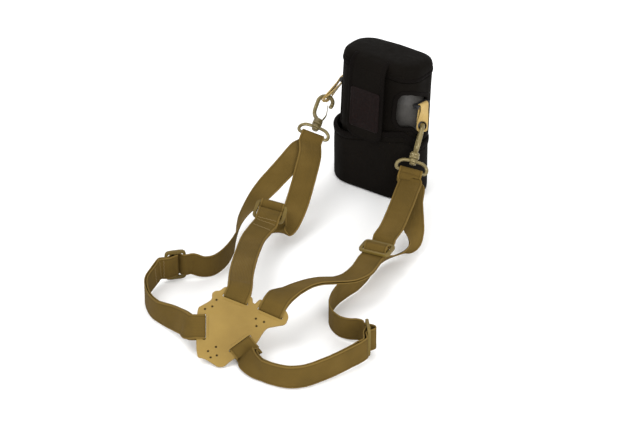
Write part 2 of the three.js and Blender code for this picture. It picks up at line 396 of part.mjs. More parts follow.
for (const [side, sx] of [['left', -1], ['right', 1]]) {
  const prof = tubeProfile(
    [[24, 6], [24.4, 7.5], [24.4, 26], [23, 32], [21.6, 44], [19.9, 58], [19.9, 74], [19.9, 113.4], [16.8, 117.4], [14.6, 124], [14.6, 138]],
    [[21.4, 6], [21.4, 30], [18.6, 44], [17.2, 58], [17, 106], [12.4, 120], [12.4, 138]]);
  let b = lathe(prof, 28);
  b.translate(sx * BAR_X, 0, 0);
  const kz = sx < 0 ? KN1 : KN2, x0 = sx * 3.4, x1 = sx * (BAR_X - 18.4);
  b = join(b, boxAt(Math.min(x0, x1), Math.max(x0, x1), -4, 4, kz[0], kz[1]), rod([0, 0, kz[0]], [0, 0, kz[1]], 5.15, 20));
  b = cut(b, rod([0, 0, kz[0] - 1], [0, 0, kz[1] + 1], 2.9, 16));
  add('barrel_' + side, b, RUBBER, upper);
  const at = (g) => { g.translate(sx * BAR_X, 0, 0); return g; };
  add('objective_lens_' + side, at(lathe([[0, 9], [12, 9.4], [20.9, 10.6], [20.9, 13], [0, 13]], 24)), GLASS, upper);
  add('ocular_lens_' + side, at(lathe([[0, 130], [12, 130], [12, 133.2], [7, 134.4], [0, 134.8]], 20)), GLASS, upper);
  add('eyecup_' + side, at(lathe(tubeProfile([[16, 136.8], [16.4, 137.8], [16.4, 146.4], [16.7, 147.6], [16.2, 148.6]], [[15, 136.8], [15, 147], [15.5, 148.2]]), 24)), DARK, upper);
  // strap lug: two posts and a bar
  const q = sx > 0 ? -LUG_ANG * Math.PI / 180 : Math.PI + LUG_ANG * Math.PI / 180, R0 = 20.2;
  let lug = join(boxAt(R0, R0 + 0.9, -9.6, 9.6, LUG_Z - 4, LUG_Z + 1.8), boxAt(R0 + 0.4, LUG_OUT + 1.3, -9.5, -7.7, LUG_Z - 2.6, LUG_Z + 2), boxAt(R0 + 0.4, LUG_OUT + 1.3, 7.7, 9.5, LUG_Z - 2.6, LUG_Z + 2), rod([LUG_OUT, -8.6, LUG_Z], [LUG_OUT, 8.6, LUG_Z], 1.1, 10));
  lug.rotateZ(q); lug.translate(sx * BAR_X, 0, 0);
  add('strap_lug_' + side, lug, DARK, upper);
  // tab folded over the lug bar, both ends threaded on the hook
  const h = HK[side];
    const tan = cdir(new THREE.Vector3(-Math.sin(q), Math.cos(q), 0));              // along the lug bar
  const G = cw(sx * BAR_X + Math.cos(q) * LUG_OUT, Math.sin(q) * LUG_OUT, LUG_Z);
  const H = h.L.clone().addScaledVector(h.A, BAR - 1.2);
  const g = H.clone().sub(G); const len = g.length(); g.normalize();
  const yy = h.Y.clone(); if (yy.dot(tan) < 0) yy.negate();
  const g0 = g.clone().addScaledVector(tan, -g.dot(tan)).normalize();      // square off the bar
  const bez = new THREE.CubicBezierCurve3(G, G.clone().addScaledVector(g0, len * 0.4), H.clone().addScaledVector(g, -len * 0.25), H);
  const layer = (f, s) => {             // f: 0 at the lug, 1 at the hook
    const w = tan.clone().lerp(yy, Math.max(0, f - 0.25) / 0.75).normalize(), t = bez.getTangent(f);
    const n = t.clone().cross(w).normalize();
    return { p: bez.getPoint(f).addScaledVector(n, s * (2.1 * (1 - f) + 0.95 * f)).toArray(), w: w.toArray() };
  };
  const over = (a) => { const n = g0.clone().cross(tan).normalize(); return { p: G.clone().addScaledVector(g0, -2.1 * Math.cos(a)).addScaledVector(n, 2.1 * Math.sin(a)).toArray(), w: tan.toArray() }; };
  const endS = (s) => { const e = layer(1, s); return { p: V(e.p).addScaledVector(g, 5.8).toArray(), w: e.w }; };
  const tabSt = [endS(1), layer(1, 1), layer(0.75, 1), layer(0.5, 1), layer(0.25, 1), over(Math.PI / 2), over(Math.PI / 4), over(0), over(-Math.PI / 4), over(-Math.PI / 2), layer(0.25, -1), layer(0.5, -1), layer(0.75, -1), layer(1, -1), endS(-1)];
  let tab = ribbon(sample(tabSt, 7), TAB_W, TAB_T);
  tab = cut(tab, rod(H.clone().addScaledVector(h.X, -6).toArray(), H.clone().addScaledVector(h.X, 6).toArray(), TAB_HOLE_R, 14), stand(hookArc(), h, h.X, h.Y));
  add('tab_' + side, tab, TAB);
  h.info = { G: G.toArray(), H: H.toArray(), len };
}
add('hinge_pin', lathe([[0, 77.6], [4.6, 77.6], [4.6, 79.4], [2.55, 79.7], [2.55, 133], [0, 133]], 16), DARK, upper);
add('focus_wheel', lathe(tubeProfile([[4.4, 102], [5, 103], [5, 125], [6.4, 128], [9, 130], [9, 135.2], [8.2, 136]], [[2.95, 102], [2.95, 136]]), 28), DARK, upper);
add('diopter_ring', (() => { const g = lathe(tubeProfile([[16, 126.2], [16.4, 126.8], [16.4, 130.9], [15.9, 131.5]], [[15, 126.2], [15, 131.5]]), 28); g.translate(BAR_X, 0, 0); return g; })(), DARK, upper);

// the frame's origin is the middle of the bounding box, on the floor
root.updateMatrixWorld(true);
const size = new THREE.Box3().setFromObject(root, true);
root.position.set(-(size.min.x + size.max.x) / 2, -(size.min.y + size.max.y) / 2, -size.min.z);
root.updateMatrixWorld(true);

export default root;
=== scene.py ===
import math
import bpy
import bmesh
import numpy as np
from mathutils import Matrix, Vector


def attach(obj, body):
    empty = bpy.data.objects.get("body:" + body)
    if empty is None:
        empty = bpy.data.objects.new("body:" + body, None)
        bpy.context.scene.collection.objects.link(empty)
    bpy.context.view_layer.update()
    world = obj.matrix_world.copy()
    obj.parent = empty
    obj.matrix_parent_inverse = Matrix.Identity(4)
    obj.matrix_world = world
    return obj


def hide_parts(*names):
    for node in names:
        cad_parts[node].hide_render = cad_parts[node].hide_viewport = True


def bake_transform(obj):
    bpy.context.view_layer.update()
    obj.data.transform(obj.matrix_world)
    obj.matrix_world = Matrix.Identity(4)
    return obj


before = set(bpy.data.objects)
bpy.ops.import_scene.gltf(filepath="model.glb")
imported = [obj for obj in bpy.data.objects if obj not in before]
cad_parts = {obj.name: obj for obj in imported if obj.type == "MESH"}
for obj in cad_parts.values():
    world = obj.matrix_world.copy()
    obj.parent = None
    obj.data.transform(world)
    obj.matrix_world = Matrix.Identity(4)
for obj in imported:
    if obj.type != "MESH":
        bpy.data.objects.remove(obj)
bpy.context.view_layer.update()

MM = 0.001
SCN = bpy.context.scene
# Centre lines of the webbing and tabs in millimetres: x, y, z and the direction across (row frame)
LINES = {
    "left": [(-83.98, -154.37, 26.55, 0, 0.766, 0.6428), (-83.98, -155.75, 28.19, 0, 0.766, 0.6428), (-84.48, -156.69, 29.31, 0, 0.766, 0.6428), (-86.38, -157.14, 29.84, 0, 0.766, 0.6428), (-91.18, -157.17, 29.88, 0, 0.766, 0.6428), (-93.78, -157.17, 29.88, 0.0469, 0.7554, 0.6536), (-97.62, -155.58, 28.5, 0.0926, 0.6742, 0.7328), (-101.51, -152.75, 26.79, 0.2542, 0.5307, 0.8085), (-104.07, -148.42, 25.84, 0.2964, 0.3288, 0.8967), (-106.16, -143.76, 25.03, 0.2069, 0.3236, 0.9233), (-109.92, -137.53, 23.33, 0.144, 0.3535, 0.9243), (-112.19, -134.04, 22.26, 0.1173, 0.3649, 0.9236), (-114.57, -130.58, 21.17, 0.1035, 0.3565, 0.9286), (-116.87, -127.36, 20.21, 0.0899, 0.3424, 0.9352), (-119.34, -124.2, 19.3, 0.0724, 0.3323, 0.9404), (-122.46, -120.79, 18.32, 0.0221, 0.2848, 0.9583), (-125.74, -117.4, 17.42, -0.0191, 0.2267, 0.9738), (-128.89, -114.1, 16.64, -0.0513, 0.1632, 0.9853), (-131.92, -110.75, 16, -0.0754, 0.0903, 0.9931), (-134.57, -107.39, 15.6, -0.0481, 0.0623, 0.9969), (-137, -103.91, 15.33, -0.0304, 0.0463, 0.9985), (-139.25, -100.31, 15.13, -0.0198, 0.0328, 0.9993), (-141.27, -96.52, 15, -0.0098, 0.0208, 0.9997), (-143.13, -92.13, 14.92, -0.0047, 0.0097, 0.9999), (-144.71, -87.55, 14.9, 0.0003, -0.001, 1), (-145.98, -82.9, 14.93, 0.0021, -0.0105, 0.9999), (-146.96, -78.25, 15, 0.0029, -0.016, 0.9999), (-147.61, -73.96, 15.08, 0.0019, -0.0213, 0.9998), (-147.97, -69.71, 15.18, 0.0012, -0.0292, 0.9996), (-148.01, -65.51, 15.33, -0.0027, -0.0378, 0.9993), (-147.68, -61.39, 15.5, -0.0065, -0.0459, 0.9989), (-146.89, -57.69, 15.69, -0.0136, -0.0538, 0.9985), (-145.78, -54.11, 15.92, -0.0206, -0.0614, 0.9979), (-144.45, -50.64, 16.18, -0.0276, -0.0716, 0.9971), (-142.94, -47.1, 16.5, -0.038, -0.0898, 0.9952), (-141.09, -42.55, 17.03, -0.0479, -0.1013, 0.9937), (-139.09, -38.03, 17.61, -0.0536, -0.1027, 0.9933), (-137.25, -34.01, 18.12, -0.0522, -0.095, 0.9941), (-135, -30.96, 18.5, -0.039, -0.0203, 0.999), (-129.66, -30.05, 18.5, 0, 0, 1), (-126.57, -29.24, 18.5, 0, 0, 1), (-124.76, -26.57, 18.5, 0, 0, 1), (-123.78, -23.03, 18.5, 0, 0, 1), (-121.84, -20.85, 18.5, 0, 0, 1), (-118.35, -19.99, 18.5, 0, 0, 1), (-115.53, -20.99, 18.5, 0, 0, 1), (-112.82, -23.62, 18.5, 0, 0, 1), (-109.97, -25.13, 18.5, 0, 0, 1), (-107.14, -24.48, 18.5, 0, 0, 1), (-102.04, -22.6, 18.5, 0.1577, 0.0302, 0.987), (-97.18, -22.57, 16.85, 0.3254, 0.0017, 0.9456), (-91.88, -22.55, 15, 0.2348, 0.023, 0.9718), (-86.72, -21.55, 14.3, 0.0913, 0.0274, 0.9954), (-81.88, -19.55, 14, 0.0372, 0.0238, 0.999), (-77.68, -15.76, 13.82, 0.0114, 0.0126, 0.9999), (-73.98, -10.85, 13.8, 0.0008, 0.0012, 1), (-71.14, -6.38, 13.81, -0.0031, -0.0053, 1), (-68.48, -1.38, 13.87, -0.0074, -0.0151, 0.9999), (-66.08, 3.95, 14, -0.0093, -0.0223, 0.9997), (-64.29, 8.66, 14.13, 0.0131, -0.0337, 0.9993), (-62.68, 13.63, 14.28, 0.0344, -0.0513, 0.9981), (-61.23, 18.76, 14.54, 0.0523, -0.0834, 0.9951), (-59.88, 23.95, 15, 0.0711, -0.1205, 0.9902), (-58.88, 28.47, 15.56, 0.1254, -0.157, 0.9796), (-58.04, 33.11, 16.23, 0.1809, -0.1842, 0.9661), (-57.26, 37.79, 17.03, 0.2317, -0.2156, 0.9486), (-56.41, 42.44, 17.95, 0.2751, -0.2558, 0.9267), (-55.38, 46.95, 19, 0.3139, -0.2997, 0.9009), (-54.23, 51.36, 20.16, 0.3958, -0.3423, 0.8521), (-53.02, 55.77, 21.45, 0.476, -0.383, 0.7917), (-51.69, 60.08, 22.86, 0.5435, -0.4346, 0.7181), (-50.17, 64.18, 24.38, 0.5924, -0.5015, 0.6306), (-48.38, 67.95, 26, 0.6102, -0.5958, 0.5222), (-45.85, 71.85, 28.09, 0.6235, -0.6823, 0.3817), (-42.97, 75.34, 30.37, 0.6451, -0.7265, 0.2366), (-39.91, 78.64, 32.72, 0.6873, -0.7166, 0.119), (-36.88, 81.95, 35, 0.7317, -0.6813, 0.0228), (-33.98, 85.16, 37.16, 0.7511, -0.658, -0.054), (-31.06, 88.24, 39.3, 0.7629, -0.6334, -0.1295), (-28.05, 91.43, 41.41, 0.7782, -0.5992, -0.188), (-24.88, 94.95, 43.5, 0.7898, -0.5631, -0.2432), (-22.05, 98.18, 45.25, 0.7913, -0.5533, -0.2602), (-19.05, 101.63, 47.03, 0.7917, -0.5431, -0.2799), (-15.95, 105.25, 48.79, 0.7949, -0.5294, -0.2965), (-12.83, 109.02, 50.49, 0.8007, -0.5125, -0.3101), (-9.78, 112.9, 52.08, 0.8092, -0.4922, -0.3209), (-6.88, 116.85, 53.5, 0.8222, -0.4646, -0.3288), (-4.02, 121.14, 54.86, 0.8376, -0.4391, -0.325), (-1.2, 125.72, 56.16, 0.8466, -0.4208, -0.3258), (1.56, 130.42, 57.34, 0.8481, -0.4144, -0.3302), (4.21, 135.04, 58.34, 0.8426, -0.4206, -0.3364), (6.74, 139.42, 59.08, 0.8289, -0.4425, -0.3422), (9.12, 143.35, 59.5, 0.7972, -0.5056, -0.33), (12.46, 148.39, 59.14, 0.7775, -0.559, -0.2881), (15.54, 152.92, 58.26, 0.7873, -0.5451, -0.288), (17.79, 156.61, 58.17, 0.8787, -0.3294, -0.3456), (19.36, 160.75, 60.49, 0.9356, -0.1843, -0.3012), (20.61, 164.07, 62.34, 0.9356, -0.1843, -0.3012), (21.41, 165.39, 64.02, 0.9356, -0.1843, -0.3012), (22.01, 164.96, 66.17, 0.9356, -0.1843, -0.3012), (22.1, 163.15, 67.55, 0.9356, -0.1843, -0.3012), (21.57, 160.95, 67.26, 0.9356, -0.1843, -0.3012), (20.32, 157.64, 65.4, 0.9356, -0.1843, -0.3012), (18.76, 153.49, 63.08, 0.9573, -0.1023, -0.2705), (18.51, 149.24, 62.17, 0.961, 0.0349, -0.2743), (18.66, 143.58, 61.47, 0.957, 0.0601, -0.2838), (18.82, 137.38, 60.71, 0.9594, 0.0405, -0.2791), (18.62, 131.55, 59.6, 0.9624, -0.0075, -0.2714), (18.09, 127.23, 58.4, 0.9623, -0.0615, -0.2649), (17.36, 122.96, 57.02, 0.9609, -0.0902, -0.2618), (16.5, 118.73, 55.48, 0.9604, -0.1066, -0.2574), (15.57, 114.53, 53.8, 0.9618, -0.1115, -0.2501), (14.62, 110.35, 52, 0.9644, -0.1105, -0.2403), (13.63, 106.01, 49.94, 0.9681, -0.1196, -0.2201), (12.57, 101.68, 47.69, 0.9699, -0.1344, -0.203), (11.47, 97.4, 45.32, 0.9704, -0.1509, -0.1884), (10.32, 93.15, 42.9, 0.9698, -0.1687, -0.1759), (9.12, 88.95, 40.5, 0.9692, -0.1845, -0.1631), (7.93, 84.81, 38.13, 0.9687, -0.192, -0.1573), (6.7, 80.66, 35.71, 0.9671, -0.2033, -0.1531), (5.43, 76.59, 33.28, 0.9627, -0.2227, -0.1535), (4.08, 72.66, 30.87, 0.9548, -0.251, -0.1596), (2.62, 68.95, 28.5, 0.9437, -0.2842, -0.1693), (0.91, 65.12, 25.83, 0.9324, -0.3178, -0.1724), (-0.92, 61.48, 23.13, 0.9174, -0.355, -0.1799), (-2.84, 58.08, 20.6, 0.8936, -0.4053, -0.1929), (-4.88, 54.95, 18.5, 0.846, -0.487, -0.2171), (-8.39, 50.6, 15.77, 0.7855, -0.582, -0.2106), (-11.88, 46.95, 14.5, 0.6918, -0.722, 0.0035), (-16.38, 42.95, 17, 0.6944, -0.4336, 0.5743), (-17.88, 45.95, 21, 0.9751, 0.0867, 0.2042), (-18.26, 49.49, 23.21, 0.9984, 0.0484, 0.0302), (-18.38, 53.45, 25.5, 0.9997, 0.0218, -0.0052), (-18.4, 57.24, 28.3, 1, -0.0008, 0.0009), (-18.38, 60.45, 31.5, 0.9994, -0.0283, 0.0195), (-18.38, 62.72, 34.93, 0.9935, -0.0986, 0.0564), (-18.48, 63.45, 38.5, 0.9688, -0.2479, -0.0042), (-18.77, 61.06, 42, 0.9583, -0.2508, -0.1369), (-19.2, 56.89, 45.42, 0.9582, -0.2306, -0.1692), (-19.7, 53.43, 47.14, 0.9577, -0.2174, -0.1883), (-20.46, 50.9, 45.94, 0.9613, -0.1999, -0.1898), (-21.28, 49.73, 43.05, 0.9613, -0.1999, -0.1898), (-22.08, 49.36, 39.39, 0.9613, -0.1999, -0.1898), (-22.87, 47.88, 36.91, 0.9613, -0.1999, -0.1898), (-23.82, 44.71, 35.47, 0.9613, -0.1999, -0.1898), (-24.3, 41.89, 35.99, 0.9613, -0.1999, -0.1898), (-24.49, 38.92, 38.14, 0.9613, -0.1999, -0.1898), (-24.93, 35.88, 39.11, 0.9613, -0.1999, -0.1898), (-25.77, 33.05, 37.88, 0.9613, -0.1999, -0.1898), (-27.21, 28.47, 35.36, 0.9429, -0.2577, -0.2113), (-28.57, 25.17, 34.98, 0.9088, -0.374, -0.1849), (-30.17, 21.47, 35.01, 0.9042, -0.3922, -0.169), (-32.42, 16.27, 35.03, 0.9099, -0.3877, -0.1475), (-34.7, 10.77, 35.19, 0.9213, -0.3677, -0.1263), (-36.76, 5.23, 35.48, 0.9361, -0.3343, -0.1095), (-38.5, -0.1, 35.88, 0.9528, -0.2889, -0.0935), (-39.48, -4, 36.3, 0.9693, -0.2303, -0.0865), (-40.24, -7.76, 36.81, 0.9781, -0.1933, -0.0765), (-40.9, -11.62, 37.43, 0.9835, -0.1674, -0.0688), (-41.46, -15.49, 38.12, 0.9874, -0.1462, -0.0601), (-41.96, -19.38, 38.84, 0.99, -0.1322, -0.0501), (-42.43, -23.3, 39.57, 0.9912, -0.1271, -0.0383), (-42.91, -27.23, 40.25, 0.9916, -0.1267, -0.025), (-43.41, -31.22, 40.91, 0.9916, -0.1289, -0.0114), (-43.97, -35.5, 41.56, 0.9913, -0.1315, -0.0105), (-44.54, -39.85, 42.2, 0.9919, -0.1269, -0.0108), (-45.08, -44.28, 42.84, 0.9927, -0.1202, -0.0116), (-45.6, -48.72, 43.47, 0.9933, -0.1149, -0.0122), (-46.1, -53.16, 44.1, 0.9939, -0.1097, -0.0128), (-46.56, -57.58, 44.72, 0.9944, -0.1045, -0.0135), (-46.99, -61.85, 45.31, 0.995, -0.0992, -0.0141), (-47.41, -66.2, 45.91, 0.9954, -0.0949, -0.0147), (-47.87, -71.3, 46.61, 0.9952, -0.0927, -0.0318), (-48.32, -76.5, 47.33, 0.9949, -0.0883, -0.0493), (-48.71, -81.55, 48.01, 0.9943, -0.0826, -0.0667), (-49.07, -86.56, 48.67, 0.9935, -0.0769, -0.0841), (-49.37, -91.43, 49.28, 0.9923, -0.0699, -0.102), (-49.62, -96.19, 49.87, 0.9909, -0.0597, -0.1203), (-49.78, -100.43, 50.4, 0.9888, -0.0489, -0.1407), (-49.89, -104.57, 50.9, 0.9862, -0.0409, -0.1607), (-49.96, -108.66, 51.36, 0.9837, -0.035, -0.1765), (-50.05, -112.6, 51.61, 0.9809, -0.0312, -0.1919), (-50.35, -118.87, 51.05, 0.9821, -0.006, -0.1885), (-50.39, -124.54, 50.21, 0.9788, -0.1096, -0.173), (-51.88, -127.32, 47.75, 0.9282, -0.285, -0.2392), (-53.37, -129.97, 45.13, 0.9282, -0.285, -0.2392), (-54.15, -131.33, 43.73, 0.9282, -0.285, -0.2392), (-54.48, -132.36, 43.65, 0.9282, -0.285, -0.2392), (-54.56, -132.95, 44.07, 0.9282, -0.285, -0.2392)],
